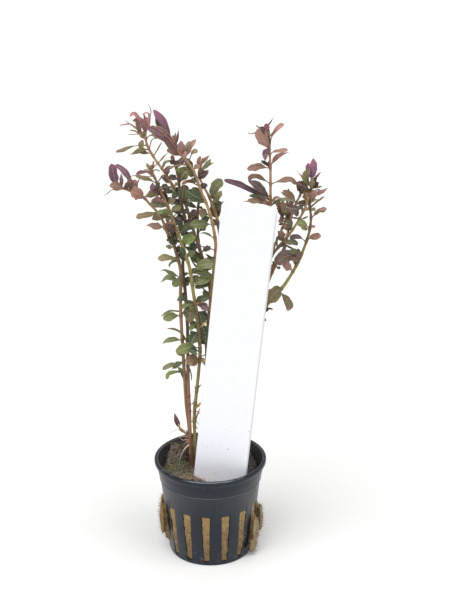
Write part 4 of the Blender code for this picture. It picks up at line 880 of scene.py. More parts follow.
def add_camera():
    """The camera at the photo's angle."""
    data = bpy.data.cameras.new("camera")
    data.sensor_width = SENSOR
    data.lens = SENSOR * FOCAL_PIXELS / PICTURE_HEIGHT
    data.clip_start = NEAR_CLIP
    camera = bpy.data.objects.new("camera", data)
    camera.location = EYE
    camera.rotation_euler = (math.pi / 2 - EYE_PITCH, 0, 0)
    bpy.context.scene.collection.objects.link(camera)
    bpy.context.scene.camera = camera


class Nodes:
    """Builds one material's nodes, a short call for each."""

    def __init__(self, name):
        self.material = bpy.data.materials.new(name)
        self.material.use_nodes = True
        self.tree = self.material.node_tree
        self.shader = self.tree.nodes["Principled BSDF"]

    def put(self, socket, value):
        """Links the value to the socket, or sets it there if it is a plain one."""
        if isinstance(value, bpy.types.NodeSocket):
            self.tree.links.new(value, socket)
        else:
            socket.default_value = value

    def new(self, kind):
        return self.tree.nodes.new("ShaderNode" + kind)

    def mark(self, name):
        """A number that the mesh carries at each point."""
        node = self.new("Attribute")
        node.attribute_name = name
        return node.outputs["Fac"]

    def where(self):
        """The place on the piece: its x, y and z in metres."""
        node = self.new("SeparateXYZ")
        self.put(node.inputs[0], self.new("TexCoord").outputs["Object"])
        return node.outputs

    def noise(self, scale, detail=3.0, rough=0.55, stretch=(1, 1, 1), warp=0.0):
        """Soft clouds over the piece, as numbers about a half, longer along an axis with less stretch."""
        spot = self.new("Mapping")
        self.put(spot.inputs["Vector"], self.new("TexCoord").outputs["Object"])
        spot.inputs["Scale"].default_value = stretch
        node = self.new("TexNoise")
        self.put(node.inputs["Vector"], spot.outputs["Vector"])
        node.inputs["Scale"].default_value = scale
        node.inputs["Detail"].default_value = detail
        node.inputs["Roughness"].default_value = rough
        node.inputs["Distortion"].default_value = warp
        return node.outputs["Fac"]

    def maths(self, operation, *values):
        node = self.new("Math")
        node.operation = operation
        for socket, value in zip(node.inputs, values):
            self.put(socket, value)
        return node.outputs[0]

    def times(self, first, second):
        return self.maths("MULTIPLY", first, second)

    def plus(self, first, second):
        return self.maths("ADD", first, second)

    def minus(self, first, second):
        return self.maths("SUBTRACT", first, second)

    def size(self, value):
        return self.maths("ABSOLUTE", value)

    def stir(self, value, clouds, amount):
        """The value, moved up and down by the clouds."""
        return self.plus(value, self.times(self.minus(clouds, 0.5), amount))

    def span(self, value, low, high, to_low=0.0, to_high=1.0):
        """The value's way from low to high, smoothed, as a number from to_low to to_high."""
        node = self.new("MapRange")
        node.interpolation_type = "SMOOTHSTEP"
        for socket, item in zip(node.inputs, (value, low, high, to_low, to_high)):
            self.put(socket, item)
        return node.outputs[0]

    def mix(self, share, first, second, blend="MIX"):
        """The first colour, with this share of the second over it."""
        node = self.new("Mix")
        node.data_type = "RGBA"
        node.blend_type = blend
        self.put(node.inputs[0], share)
        self.put(node.inputs[6], first)
        self.put(node.inputs[7], second)
        return node.outputs[2]

    def ramp(self, value, stops):
        """A colour that changes along the value: each stop is its place, then red, green and blue."""
        node = self.new("ValToRGB")
        self.put(node.inputs["Fac"], value)
        band = node.color_ramp.elements
        while len(band) < len(stops):
            band.new(0.5)
        for element, (at, *colour) in zip(band, stops):
            element.position = at
            element.color = linear(colour)
        return node.outputs["Color"]

    def bump(self, height, strength, distance):
        """Fine relief on the whole piece."""
        node = self.new("Bump")
        self.put(node.inputs["Height"], height)
        node.inputs["Strength"].default_value = strength
        node.inputs["Distance"].default_value = distance
        self.put(self.shader.inputs["Normal"], node.outputs["Normal"])

    def length_of(self, x, y):
        """How far a place is from the upright axis."""
        return self.maths("SQRT", self.plus(self.maths("POWER", x, 2.0), self.maths("POWER", y, 2.0)))

    def set(self, **values):
        """The finished material, with these values on its shader."""
        for name, value in values.items():
            self.put(self.shader.inputs[name.replace("_", " ")], value)
        return self.material


def leaf_material(name):
    """A leaf: paler midrib and side veins, tinted tip and edge, blotches, and a duller underside."""
    foot, middle, tip, edge, under = LEAF_COLOURS[name]
    n = Nodes("leaf_" + name)
    along = n.mark("along")
    side = n.size(n.mark("side"))
    tint = n.mark("tint")
    blotch = n.noise(420, 3, 0.6)
    reach = n.stir(along, blotch, 0.7)
    base = n.ramp(reach, ((0.02, *foot), (0.45, *middle), (0.98, *tip)))
    rim = n.times(n.span(side, 0.72, 1.0), n.span(blotch, 0.35, 0.65, 0.35, 0.95))
    base = n.mix(rim, base, linear(edge))
    shade = n.noise(1300, 2, 0.5)
    deep = n.mix(1.0, base, LEAF_SHADOW, "MULTIPLY")
    base = n.mix(n.span(shade, 0.52, 0.74, 0.0, 0.45), base, deep)
    vein = n.plus(n.times(along, 34.0), n.times(side, -9.0))
    ridge = n.span(n.maths("SINE", vein), 0.55, 1.0)
    midrib = n.span(side, 0.02, 0.13, 1.0, 0.0)
    pale = n.mix(0.45, base, LEAF_VEIN)
    base = n.mix(n.times(ridge, 0.22), base, pale)
    base = n.mix(n.times(midrib, 0.55), base, pale)
    below = n.span(n.mark("skin"), -0.4, 0.1, 0.75, 0.0)
    base = n.mix(below, base, linear(under))
    light = n.plus(LEAF_LIGHT[0], n.times(tint, LEAF_LIGHT[1]))
    node = n.new("HueSaturation")
    n.put(node.inputs["Color"], base)
    n.put(node.inputs["Value"], light)
    n.put(node.inputs["Hue"], n.plus(LEAF_HUE[0], n.times(n.mark("warm"), LEAF_HUE[1])))
    n.bump(n.plus(n.times(ridge, -0.5), shade), 0.35, 0.0002)
    rough = n.span(blotch, 0.3, 0.7, 0.38, 0.58)
    n.shader.inputs["Subsurface Radius"].default_value = (0.0009, 0.0010, 0.0005)
    n.shader.inputs["Subsurface Scale"].default_value = 1.0
    return n.set(Base_Color=node.outputs["Color"], Roughness=rough, Subsurface_Weight=0.18)


def stem_material(name):
    """A stem: its colour changes from tip to foot, with fine streaks and darker rings at its nodes."""
    n = Nodes("stem_" + name)
    along = n.mark("along")
    streak = n.noise(1500, 3, 0.6, (1, 1, 0.08))
    patch = n.noise(160, 3, 0.6)
    reach = n.stir(along, patch, 0.12)
    base = n.ramp(reach, STEM_COLOURS[name])
    dark = n.mix(1.0, base, STEM_SHADOW, "MULTIPLY")
    base = n.mix(n.span(streak, 0.50, 0.72, 0.0, 0.6), base, dark)
    base = n.mix(n.times(n.mark("knot"), 0.55), base, dark)
    base = n.mix(n.span(n.noise(700, 2), 0.62, 0.75, 0.0, 0.4), base, linear(STEM_FLECK))
    n.bump(streak, 0.4, 0.0002)
    n.shader.inputs["Subsurface Radius"].default_value = (0.0008, 0.0006, 0.0003)
    return n.set(Base_Color=base, Roughness=n.span(patch, 0.3, 0.7, 0.36, 0.52), Subsurface_Weight=0.06)


def pot_material():
    """Satin black plastic with a blue cast, fine upright scratches, dust, a rubbed rim, painted highlights,
    and an inside painted lighter.
    """
    n = Nodes("pot")
    x, y, height = n.where()
    cloud = n.noise(90, 4, 0.6)
    grain = n.noise(2600, 2, 0.5)
    scratch = n.noise(2200, 2, 0.5, (1, 1, 0.05))
    base = n.mix(n.span(cloud, 0.35, 0.7), PLASTIC["deep"], PLASTIC["pale"])
    base = n.mix(n.span(scratch, 0.66, 0.76, 0.0, 0.35), base, PLASTIC["scratch"])
    out = n.length_of(x, y)
    slope = (BAND_RADIUS_TOP - BAND_RADIUS_FOOT) / (POT_HEIGHT - LIP_HEIGHT - BAND_FOOT)
    skin = n.maths("MULTIPLY_ADD", n.minus(height, BAND_FOOT), slope, BAND_RADIUS_FOOT - WALL / 2)
    # Painted light: the inner wall above the wool is made lighter than the outside, against the shade it sits
    # in.
    inside = n.times(n.span(n.minus(skin, out), 0.0, 0.0002), n.span(height, 0.034, 0.035))
    base = n.mix(inside, base, PLASTIC["inside"])
    # Rubbing and a painted highlight: patches on the rim's top are made lighter.
    wear_and_highlight = n.span(n.noise(260, 4, 0.7), 0.50, 0.68)
    rim_wear_and_highlight = n.times(n.span(height, 0.0461, 0.0466), wear_and_highlight)
    base = n.mix(n.times(rim_wear_and_highlight, 0.18), base, PLASTIC["worn"])
    # A painted highlight: a glint along the rim's outer top edge at the front.
    edge = n.span(n.size(n.minus(out, RIM_RADIUS - 0.0003)), 0.0001, 0.00025, 1.0, 0.0)
    front = n.span(y, -0.0225, -0.0245)
    glint = n.times(n.times(edge, front), n.span(cloud, 0.30, 0.60, 0.25, 0.8))
    base = n.mix(n.times(glint, n.span(height, 0.0459, 0.0463)), base, PLASTIC["glint"])
    # A painted highlight: a light line along the band's foot, where its edge catches the light.
    off_step = n.size(n.minus(height, BAND_FOOT + 0.0003))
    step_highlight = n.times(n.span(off_step, 0.00005, 0.00022, 1.0, 0.0), n.span(cloud, 0.2, 0.6, 0.25, 0.6))
    base = n.mix(step_highlight, base, PLASTIC["step"])
    scuff = n.times(n.span(n.noise(300, 4, 0.65, (1, 1, 0.35)), 0.56, 0.70), n.span(height, 0.030, 0.024))
    base = n.mix(n.times(scuff, 0.18), base, PLASTIC["scuff"])
    foot_dust = n.times(n.span(height, 0.016, 0.002), n.span(n.noise(420, 5, 0.7), 0.48, 0.75))
    base = n.mix(n.times(foot_dust, 0.25), base, PLASTIC["dust"])
    n.bump(n.plus(grain, n.times(scratch, 0.5)), 0.10, 0.0002)
    rough = n.span(cloud, 0.3, 0.7, 0.26, 0.36)
    n.shader.inputs["Specular IOR Level"].default_value = 0.44
    n.shader.inputs["Specular Tint"].default_value = (0.80, 0.89, 1.0, 1)
    return n.set(Base_Color=base, Roughness=rough)


def label_material():
    """White plastic sheet with a fine grain, painted shade at its cut edges, and faint darker streaks towards
    its foot.
    """
    n = Nodes("label")
    across = n.mark("across")
    up = n.mark("up")
    grain = n.noise(2400, 2, 0.5)
    base = n.mix(n.span(grain, 0.35, 0.65), SHEET["dull"], SHEET["bright"])
    low = n.span(up, 0.30, 0.02)
    speck = n.times(n.span(n.noise(1300, 2, 0.5), 0.745, 0.765), n.span(up, 0.5, 0.02))
    base = n.mix(n.times(speck, 0.55), base, SHEET["speck"])
    # Painted shade: grey at the cut edges, wider on the right.
    right_edge_shade = n.span(across, 0.962, 0.984, 0.0, 0.55)
    left_edge_shade = n.span(across, 0.010, 0.003, 0.0, 0.35)
    base = n.mix(n.maths("MAXIMUM", right_edge_shade, left_edge_shade), base, SHEET["edge"])
    # Faint darker streaks towards the foot.
    low_streaks = n.times(n.span(n.noise(240, 4, 0.7, (1, 1, 0.3)), 0.62, 0.8), low)
    base = n.mix(n.times(low_streaks, 0.16), base, SHEET["low_streaks"])
    n.bump(grain, 0.05, 0.0002)
    return n.set(Base_Color=base, Roughness=0.46)


def root_material():
    """A pale root with faint patches."""
    n = Nodes("root")
    patch = n.noise(900, 3, 0.6)
    base = n.mix(n.span(patch, 0.35, 0.7), linear(ROOT_SHADES[0]), linear(ROOT_SHADES[1]))
    n.bump(patch, 0.2, 0.0002)
    return n.set(Base_Color=base, Roughness=0.45, Subsurface_Weight=0.1)


def wool_material():
    """Mineral wool: tan where it fills the slots, brown, mossy or dark on the top, with painted shade in
    crevices and cracks and at the stems' feet.
    """
    n = Nodes("wool")
    x, y, z = n.where()
    fibre = n.noise(900, 5, 0.7, (1, 1, 0.45), 1.5)
    clump = n.noise(230, 4, 0.6)
    crack_shade = n.noise(420, 4, 0.7, (1, 1, 0.7), 0.8)
    crevice_shade = n.noise(560, 4, 0.75)
    shades = {name: n.ramp(fibre, stops) for name, stops in WOOL_COLOURS.items()}

    def near(at_x, at_y, inner, outer):
        """One at this place on the top, nothing outside the outer distance."""
        away = n.length_of(n.minus(x, at_x), n.minus(y, at_y))
        return n.span(n.stir(away, clump, 0.008), inner, outer, 1.0, 0.0)

    stains_and_shade = {name: linear(colour) for name, colour in WOOL_STAINS_AND_SHADE.items()}
    top = shades["brown"]
    for shade, *patch in WOOL_PATCHES:
        top = n.mix(near(*patch), top, shades[shade])
    # Painted shade: a dark patch in the hollow at the stems' feet.
    top = n.mix(n.times(near(*WOOL_HOLLOW_SHADE), WOOL_HOLLOW_SHADE_STRENGTH), top, stains_and_shade["hollow_shade"])
    # Painted shade in the crevices of the top.
    top = n.mix(n.span(crevice_shade, 0.54, 0.64, 0.0, 0.65), top, stains_and_shade["crevice_shade"])
    tan = n.mix(n.span(clump, 0.54, 0.68, 0.0, 0.65), shades["tan"], stains_and_shade["clump"])
    # Painted shade in the cracks of the wool in the slots.
    tan = n.mix(n.span(crack_shade, 0.56, 0.66, 0.0, 0.60), tan, stains_and_shade["crack_shade"])
    stain = n.plus(z, n.times(clump, 0.012))
    tan = n.mix(n.span(stain, 0.022, 0.009, 0.0, 0.50), tan, stains_and_shade["low"])
    tan = n.mix(n.span(stain, 0.022, 0.032, 0.0, 0.35), tan, stains_and_shade["high"])
    loose = n.span(n.plus(n.length_of(x, y), n.times(clump, 0.004)), 0.0236, 0.0254, 0.0, 0.75)
    right_side = n.span(x, -0.006, 0.006)
    side = n.mix(n.times(loose, right_side), tan, shades["grey"])
    level = n.span(n.plus(z, n.times(clump, 0.003)), 0.0345, 0.0375)
    base = n.mix(level, side, top)
    n.bump(fibre, 0.9, 0.0008)
    return n.set(Base_Color=base, Roughness=0.95)


def strand_material(name):
    """Loose fibres or grains, each of its own shade."""
    n = Nodes(name)
    base = n.ramp(n.mark("tint"), STRAND_COLOURS[name])
    base = n.mix(n.span(n.noise(1500, 2), 0.4, 0.7, 0.0, 0.35), base, linear(STRAND_SHADOW))
    return n.set(Base_Color=base, Roughness=0.8)


class Skin:
    """Collects the points and faces of one piece, with the marks that each point carries."""

    def __init__(self, *marks):
        self.points = []
        self.faces = []
        self.kinds = []
        self.marks = {mark: [] for mark in marks}

    def loop(self, points, **marks):
        """One closed ring of points. Each mark is one number for all, or one for each point."""
        first = len(self.points)
        self.points.extend(points)
        for name, kept in self.marks.items():
            value = marks.get(name, 0.0)
            kept.extend(value if isinstance(value, (list, tuple, np.ndarray)) else [value] * len(points))
        return list(range(first, first + len(points)))

    def skin(self, rings, kind=0):
        """Faces between the rings, with both ends closed."""
        for lower, upper in zip(rings, rings[1:]):
            for i in range(len(lower)):
                j = (i + 1) % len(lower)
                self.faces.append((lower[i], lower[j], upper[j], upper[i]))
                self.kinds.append(kind)
        self.faces.extend([tuple(reversed(rings[0])), tuple(rings[-1])])
        self.kinds.extend([kind, kind])

    def piece(self, name, materials, slot, nodes=()):
        """The piece as an object that rides with the solids and stands for these nodes."""
        data = bpy.data.meshes.new(name)
        data.from_pydata([tuple(point) for point in self.points], [], self.faces)
        for mark, values in self.marks.items():
            add_mark(data, mark, values)
        return show(data, name, materials, nodes, self.kinds)


def add_mark(data, name, values):
    """One number for each point of the mesh, which its material reads."""
    kept = data.attributes.new(name, "FLOAT", "POINT")
    kept.data.foreach_set("value", np.array(values, np.float32))


def show(data, name, materials, nodes=(), kinds=None):
    """The mesh as an object that rides with the solids and stands for these nodes."""
    for material in materials:
        data.materials.append(material)
    if kinds is not None:
        data.polygons.foreach_set("material_index", np.array(kinds, np.int32))
    data.shade_smooth()
    data.validate()
    piece = helper(name, data)
    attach(piece, "root")
    if nodes:
        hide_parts(*nodes)
    return piece


def resample(points, step):
    """A smooth curve through the points, with a point every step."""
    knots = [2 * points[0] - points[1], *points, 2 * points[-1] - points[-2]]
    found = []
    for before, start, end, after in zip(knots, knots[1:], knots[2:], knots[3:]):
        second = 2 * before - 5 * start + 4 * end - after
        third = 3 * start - before - 3 * end + after
        pieces = max(1, round((end - start).length / step))
        for i in range(pieces):
            t = i / pieces
            found.append(0.5 * (2 * start + (end - before) * t + second * t**2 + third * t**3))
    return [*found, knots[-2]]


def tube(skin, line, radii, sides, kind=0, **marks):
    """A round tube along the line, with its own radius and marks at each point."""
    rings = []
    across = Vector((1, 0, 0))
    for i, middle in enumerate(line):
        ahead = (line[min(i + 1, len(line) - 1)] - line[max(i - 1, 0)]).normalized()
        across = (across - ahead * across.dot(ahead)).normalized()
        other = ahead.cross(across)
        ring = [
            middle + radii[i] * (math.cos(turn) * across + math.sin(turn) * other)
            for turn in (2 * math.pi * k / sides for k in range(sides))
        ]
        rings.append(skin.loop(ring, **{name: values[i] for name, values in marks.items()}))
    skin.skin(rings, kind)


def on_stem(route, row):
    """The stem's middle at this row of the picture, the stem's direction there, and its depth."""
    for upper, lower in zip(route, route[1:]):
        if row <= lower[1]:
            break
    share = max(0.0, (row - upper[1]) / (lower[1] - upper[1]))
    step = [a + share * (b - a) for a, b in zip(upper, lower)]
    return place(*step), (place(*lower) - place(*upper)).normalized(), step[2]


def read_leaf(row, across, down, aft, width, look, *bends):
    """One leaf's row of STEMS by name, with what its look leaves out."""
    words = look.split()
    words.extend(USUAL_LOOK[len(words):])
    colour, shape, face, arch = words
    return SimpleNamespace(
        row=row, tip=(across, down), aft=aft, width=width, bends=bends,
        colour=colour, shape=shape, face=float(face), arch=float(arch),
    )


def leaf_line(route, leaf):
    """The leaf's foot just inside its stem's surface, the bends of its middle line, and its tip."""
    middle, direction, depth = on_stem(route, leaf.row)
    tip = place(*leaf.tip, depth + leaf.aft)
    outward = tip - middle
    outward -= direction * outward.dot(direction)
    foot = middle + outward.normalized() * STEM_RADIUS * LEAF_FOOT
    parts = len(leaf.bends) + 1
    steps = [place(*bend, depth + leaf.aft * (i + 1) / parts) for i, bend in enumerate(leaf.bends)]
    return [foot, *steps, tip]


def midline(points, count):
    """Steps along a smooth curve through the points, each with its share, place and direction."""
    line = resample(points, LEAF_STEP)
    reach = [0.0]
    for start, end in zip(line, line[1:]):
        reach.append(reach[-1] + (end - start).length)
    steps = []
    at = 0
    for i in range(count + 1):
        share = i / count
        share += ROW_CROWDING * math.sin(2 * math.pi * share) / (2 * math.pi)
        wanted = share * reach[-1]
        while at < len(line) - 2 and reach[at + 1] < wanted:
            at += 1
        part = (wanted - reach[at]) / max(reach[at + 1] - reach[at], 1e-9)
        ahead = line[min(at + 3, len(line) - 1)] - line[max(at - 2, 0)]
        steps.append((share, line[at].lerp(line[at + 1], part), ahead.normalized()))
    return steps, reach[-1]


def outline(leafy, widest, foot_taper, tip_taper):
    """The blade's half width at this share of its length, as a share of its greatest."""
    if leafy < widest:
        return math.sin(math.pi / 2 * leafy / widest) ** foot_taper
    return math.cos(math.pi / 2 * min(1.0, (leafy - widest) / (1 - widest))) ** tip_taper


def blade_form(leaf, bent, luck):
    """The leaf's form by name, with what chance adds to it."""
    names = ("stalk", "widest", "foot_taper", "tip_taper", "cup", "curl", "wave", "twist")
    form = SimpleNamespace(**dict(zip(names, SHAPES[leaf.shape])))
    form.twist = math.radians(form.twist) * luck.uniform(-1, 1)
    form.cup *= luck.uniform(*CUP_PLAY)
    form.sway = 0.0 if bent else luck.uniform(-SWAY, SWAY)
    form.phase = luck.uniform(0, 2 * math.pi)
    form.seed = Vector([luck.uniform(0, LEAF_SPREAD) for _ in range(3)])
    form.tint = luck.random()
    form.warm = luck.random()
    form.width = leaf.width * MM
    if leaf.width > STRAP_WIDTH:
        form.width *= LEAF_BREADTH
    return form


def half_widths(form, share, leafy):
    """How far the blade reaches to its left and to its right at this share of its length."""
    half = form.width / 2 * outline(leafy, form.widest, form.foot_taper, form.tip_taper)
    least = min(STALK_WIDTH, form.width) / 2 * (1 - STALK_TAPER * leafy)
    spots = [Vector((way * WOBBLE_APART, share * WOBBLE_NOISE, 0)) for way in (-1, 1)]
    wobbles = [noise.noise(form.seed + spot) for spot in spots]
    return [max(half * (1 + EDGE_WOBBLE * wobble), least) for wobble in wobbles]


def relief(form, side, half, share, leafy, length):
    """How far the blade rises here: its raised side, its edge's waves and its creases, less its midrib."""
    edge = abs(side)
    ahead = WAVE_AHEAD if side > 0 else 0
    ripple = form.wave * form.width * edge**2 * math.sin(form.phase + WAVE_RUN * share + ahead)
    crease = CREASE * noise.noise(form.seed + Vector((side * half, share * length, 0)) * CREASE_NOISE)
    height = form.cup * edge * half * CUP_RISE + ripple + crease * min(1, CREASE_START * leafy)
    return height - MIDRIB_DEPTH * math.exp(-((side * half / MIDRIB_WIDTH) ** 2))


def blade(skin, points, leaf, luck, kind=0):
    """One leaf: a thin closed blade on its stalk, with a midrib, raised sides, curled tip and wavy edge."""
    form = blade_form(leaf, len(points) > 2, luck)
    face = math.radians(leaf.face)
    upward = Vector((0, -math.sin(face), math.cos(face)))
    columns = [math.sin(math.pi / 2 * (2 * j / LEAF_COLUMNS - 1)) for j in range(LEAF_COLUMNS + 1)]
    around = [(c, 1) for c in columns] + [(c, -1) for c in reversed(columns[1:-1])]
    sides = [side for side, _ in around]
    skins = [0.0 if abs(side) > AT_EDGE else float(face_side) for side, face_side in around]
    rings = []
    steps, length = midline(points, LEAF_ROWS)
    for share, middle, ahead in steps:
        leafy = max(0.0, (share - form.stalk) / (1 - form.stalk))
        halves = half_widths(form, share, leafy)
        over = upward.cross(ahead).normalized()
        rise = ahead.cross(over)
        bow = 4 * share * (1 - share)
        lift = leaf.arch * bow - form.curl * TIP_CURL * max(0.0, share - TIP_CURL_FROM) ** 2
        middle = middle + rise * (lift * length) + over * (form.sway * length * bow)
        turn = form.twist * share
        spread = over * math.cos(turn) + rise * math.sin(turn)
        up = rise * math.cos(turn) - over * math.sin(turn)
        ring = []
        for side, face_side in around:
            half = halves[1 if side > 0 else 0]
            height = relief(form, side, half, share, leafy, length)
            height += face_side * LEAF_THICKNESS / 2 * math.sqrt(max(0.0, 1 - side * side))
            ring.append(middle + spread * (side * half * (1 - CUP_NARROWS * form.cup)) + up * height)
        rings.append(skin.loop(ring, along=share, side=sides, skin=skins, tint=form.tint, warm=form.warm))
    skin.skin(rings, kind)


def stem_radius(share, point, swelling):
    """The stem's radius at this share of its way down, swollen where a leaf grows."""
    wobble = 1 + STEM_UNEVEN * noise.noise(point * STEM_NOISE)
    radius = min(STEM_RADIUS, STEM_TIP_RADIUS + STEM_RADIUS * share * STEM_TAPER)
    return radius * wobble + NODE_SWELLING * swelling


def stem_tube(skin, route, leaves):
    """The stem from its tip down into the wool, with a swollen node at each leaf's foot."""
    knots = [place(*step) for step in route]
    knots.append(knots[-1] - Vector((0, 0, ROOTED)))
    line = resample(knots, STEM_STEP)
    feet = [on_stem(route, leaf.row)[0] for leaf in leaves]
    shares = [i / len(line) for i in range(len(line))]
    swellings = [
        max(math.exp(-(((point - foot).length / NODE_REACH) ** 2)) for foot in feet) for point in line
    ]
    radii = [stem_radius(*here) for here in zip(shares, line, swellings)]
    tube(skin, line, radii, STEM_SIDES, along=shares, knot=swellings)


def build_leaf(name, route, index, leaf):
    """A larger leaf as a piece of its own."""
    skin = Skin(*LEAF_MARKS)
    blade(skin, leaf_line(route, leaf), leaf, random.Random(f"{name} leaf {index}"))
    short = name.replace("stem_", "")
    slot = "leaf_" + LEAF_SLOTS.get(leaf.colour, leaf.colour)
    node = f"leaf_{short}_{index + 1}"
    skin.piece(f"{short}_leaf_{index + 1}", [MATERIALS["leaf_" + leaf.colour]], slot, (node,))


def build_stem(name, stem):
    """A stem with its sprigs as one piece, and its larger leaves."""
    route = stem["route"]
    leaves = [read_leaf(*row) for row in stem["leaves"]]
    sprigs = [read_leaf(*row) for row in stem["sprigs"]]
    skin = Skin(*LEAF_MARKS)
    stem_tube(skin, route, leaves + sprigs)
    colours = sorted({leaf.colour for leaf in sprigs} | {SIDE_SHOOT_COLOUR})
    for index, leaf in enumerate(sprigs):
        luck = random.Random(f"{name} sprig {index}")
        blade(skin, leaf_line(route, leaf), leaf, luck, 1 + colours.index(leaf.colour))
    if name == SIDE_SHOOT_STEM:
        shoot = resample([place(*step) for step in SIDE_SHOOT], STEM_STEP)
        kind = 1 + colours.index(SIDE_SHOOT_COLOUR)
        tube(skin, shoot, [SIDE_SHOOT_RADIUS] * len(shoot), ROOT_SIDES, kind, along=[0.5] * len(shoot))
    look = STEM_LOOKS.get(name, stem["colour"])
    materials = [MATERIALS["stem_" + look]] + [MATERIALS["leaf_" + colour] for colour in colours]
    skin.piece(name.replace("stem_", "") + "_stem", materials, "stem_" + stem["colour"], (name,))
    for index, leaf in enumerate(leaves):
        build_leaf(name, route, index, leaf)


def thread(skin, bends, radius, sides, kind=0):
    """A thin root along the bends, uneven and thinner towards its end."""
    line = resample([place(*step) for step in bends], ROOT_STEP)
    along = [i / len(line) for i in range(len(line))]
    radii = [
        radius * (1 - ROOT_TAPER * share) * (1 + ROOT_UNEVEN * noise.noise(point * ROOT_NOISE))
        for share, point in zip(along, line)
    ]
    tube(skin, line, radii, sides, kind, along=along)


def build_root():
    """The pale root, and the finer roots and dead bits about the stems' feet."""
    skin = Skin(*LEAF_MARKS)
    thread(skin, PALE_ROOT, ROOT_RADIUS, ROOT_SIDES)
    skin.piece("root_skin", [MATERIALS["root"]], "root", ("pale_root",))
    skin = Skin(*LEAF_MARKS)
    colours = sorted({row[1] for row in FINE_ROOTS})
    for thickness, colour, *bends in FINE_ROOTS:
        thread(skin, bends, thickness * MM, FINE_ROOT_SIDES, colours.index(colour))
    skin.piece("fine_roots", [MATERIALS[colour] for colour in colours], "root")


def wall_radius(height):
    """The outer radius of the pot's tapered wall at this height."""
    return WALL_RADIUS_FOOT + (WALL_RADIUS_TOP - WALL_RADIUS_FOOT) * height / BAND_FOOT


def slot_angle(index):
    """The direction of a slot about the pot's axis: the first is nearest the front."""
    return -math.pi / 2 + SLOT_TURN + index * SLOT_PITCH


def arc(corner_out, corner_up, shape):
    """Points on an arc of the pot's section, by its corner and the arc's own numbers."""
    out, up, radius, start, end, count = shape
    turns = [math.radians(start + (end - start) * i / count) for i in range(count + 1)]
    out += corner_out
    up += corner_up
    return [(out + radius * math.cos(turn), up + radius * math.sin(turn)) for turn in turns]


def pot_profile():
    """The pot's section with rounded edges, from the floor's middle up the inside and down the outside."""
    lip_foot = POT_HEIGHT - LIP_HEIGHT
    return [
        (0, FLOOR),
        (wall_radius(FLOOR) - WALL - WALL_ROUND, FLOOR),
        (wall_radius(FLOOR) - WALL, FLOOR + WALL_ROUND),
        (WALL_RADIUS_TOP - WALL, BAND_FOOT - WALL_ROUND),
        (BAND_RADIUS_FOOT - WALL, BAND_FOOT + WALL_ROUND),
        (BAND_RADIUS_TOP - WALL, lip_foot),
        (RIM_INNER_RADIUS - LIP_FLARE, POT_HEIGHT - LIP_ROUND),
        *arc(RIM_INNER_RADIUS, POT_HEIGHT, LIP_INSIDE),
        *arc(RIM_RADIUS, POT_HEIGHT, LIP_OUTSIDE),
        *arc(RIM_RADIUS, lip_foot, LIP_ROLL),
        *arc(BAND_RADIUS_TOP, lip_foot, LIP_HOLLOW),
        (BAND_RADIUS_FOOT, BAND_FOOT + BAND_EDGE_TOP),
        *arc(BAND_RADIUS_FOOT, BAND_FOOT, BAND_EDGE),
        (WALL_RADIUS_TOP, BAND_FOOT - BAND_EDGE_FOOT),
        (wall_radius(WALL_MIDDLE), WALL_MIDDLE),
        *arc(WALL_RADIUS_FOOT, 0, WALL_EDGE),
        (0, 0),
    ]


def modified(obj):
    """The object's mesh with its modifiers applied. The object is removed."""
    graph = bpy.context.evaluated_depsgraph_get()
    data = bpy.data.meshes.new_from_object(obj.evaluated_get(graph))
    bpy.data.objects.remove(obj, do_unlink=True)
    return data


def soften(obj, width, angle):
    """Bevels the object's edges that are sharper than the angle."""
    soft = obj.modifiers.new("soft", "BEVEL")
    soft.width = width
    soft.segments = 2
    soft.limit_method = "ANGLE"
    soft.angle_limit = math.radians(angle)


def helper(name, data):
    """An object in the scene that holds the mesh."""
    obj = bpy.data.objects.new(name, data)
    bpy.context.scene.collection.objects.link(obj)
    return obj


def helper_of(shape, name):
    """An object in the scene that holds the finished shape."""
    data = bpy.data.meshes.new(name)
    shape.to_mesh(data)
    shape.free()
    return helper(name, data)


def slot_wedge(shape, index, play, reach):
    """A wedge in this slot, wider at the top, with this play to its edges. The reach is how far out it is."""
    made = bmesh.ops.create_cube(shape, size=1)["verts"]
    turn = Matrix.Rotation(slot_angle(index), 4, "Z")
    for vert in made:
        top = vert.co.z > 0
        width = (SLOT_WIDTH_TOP if top else SLOT_WIDTH_FOOT) - 2 * play
        height = SLOT_TOP - play if top else SLOT_FOOT + play
        vert.co = turn @ Vector((reach(vert.co.x, height), width * vert.co.y, height))
    return made


def slot_cutter():
    """A ring of wedges with rounded corners, and boxes that open the floor."""
    shape = bmesh.new()
    middle = (WALL_RADIUS_FOOT + WALL_RADIUS_TOP) / 2
    for index in range(SLOTS):
        made = slot_wedge(shape, index, 0, lambda out, height: middle + SLOT_DEPTH * out)
        radial = [
            edge for edge in shape.edges
            if edge.verts[0] in made and edge.verts[1] in made
            and abs(edge.verts[0].co.z - edge.verts[1].co.z) < LEVEL_PLAY
            and edge.calc_length() > SLOT_DEPTH * 0.9
        ]
        bmesh.ops.bevel(
            shape, geom=radial, offset=SLOT_CORNER, segments=SLOT_CORNER_STEPS, profile=0.5, affect="EDGES",
        )
    for index in range(DRAINS):
        made = bmesh.ops.create_cube(shape, size=1)["verts"]
        turn = Matrix.Rotation(slot_angle(SLOTS // DRAINS * index), 4, "Z")
        for vert in made:
            out = DRAIN_RADIUS + DRAIN_SIZE[0] * vert.co.x
            vert.co = turn @ Vector((out, DRAIN_SIZE[1] * vert.co.y, 4 * FLOOR * vert.co.z))
    return helper_of(shape, "slot_cutter")


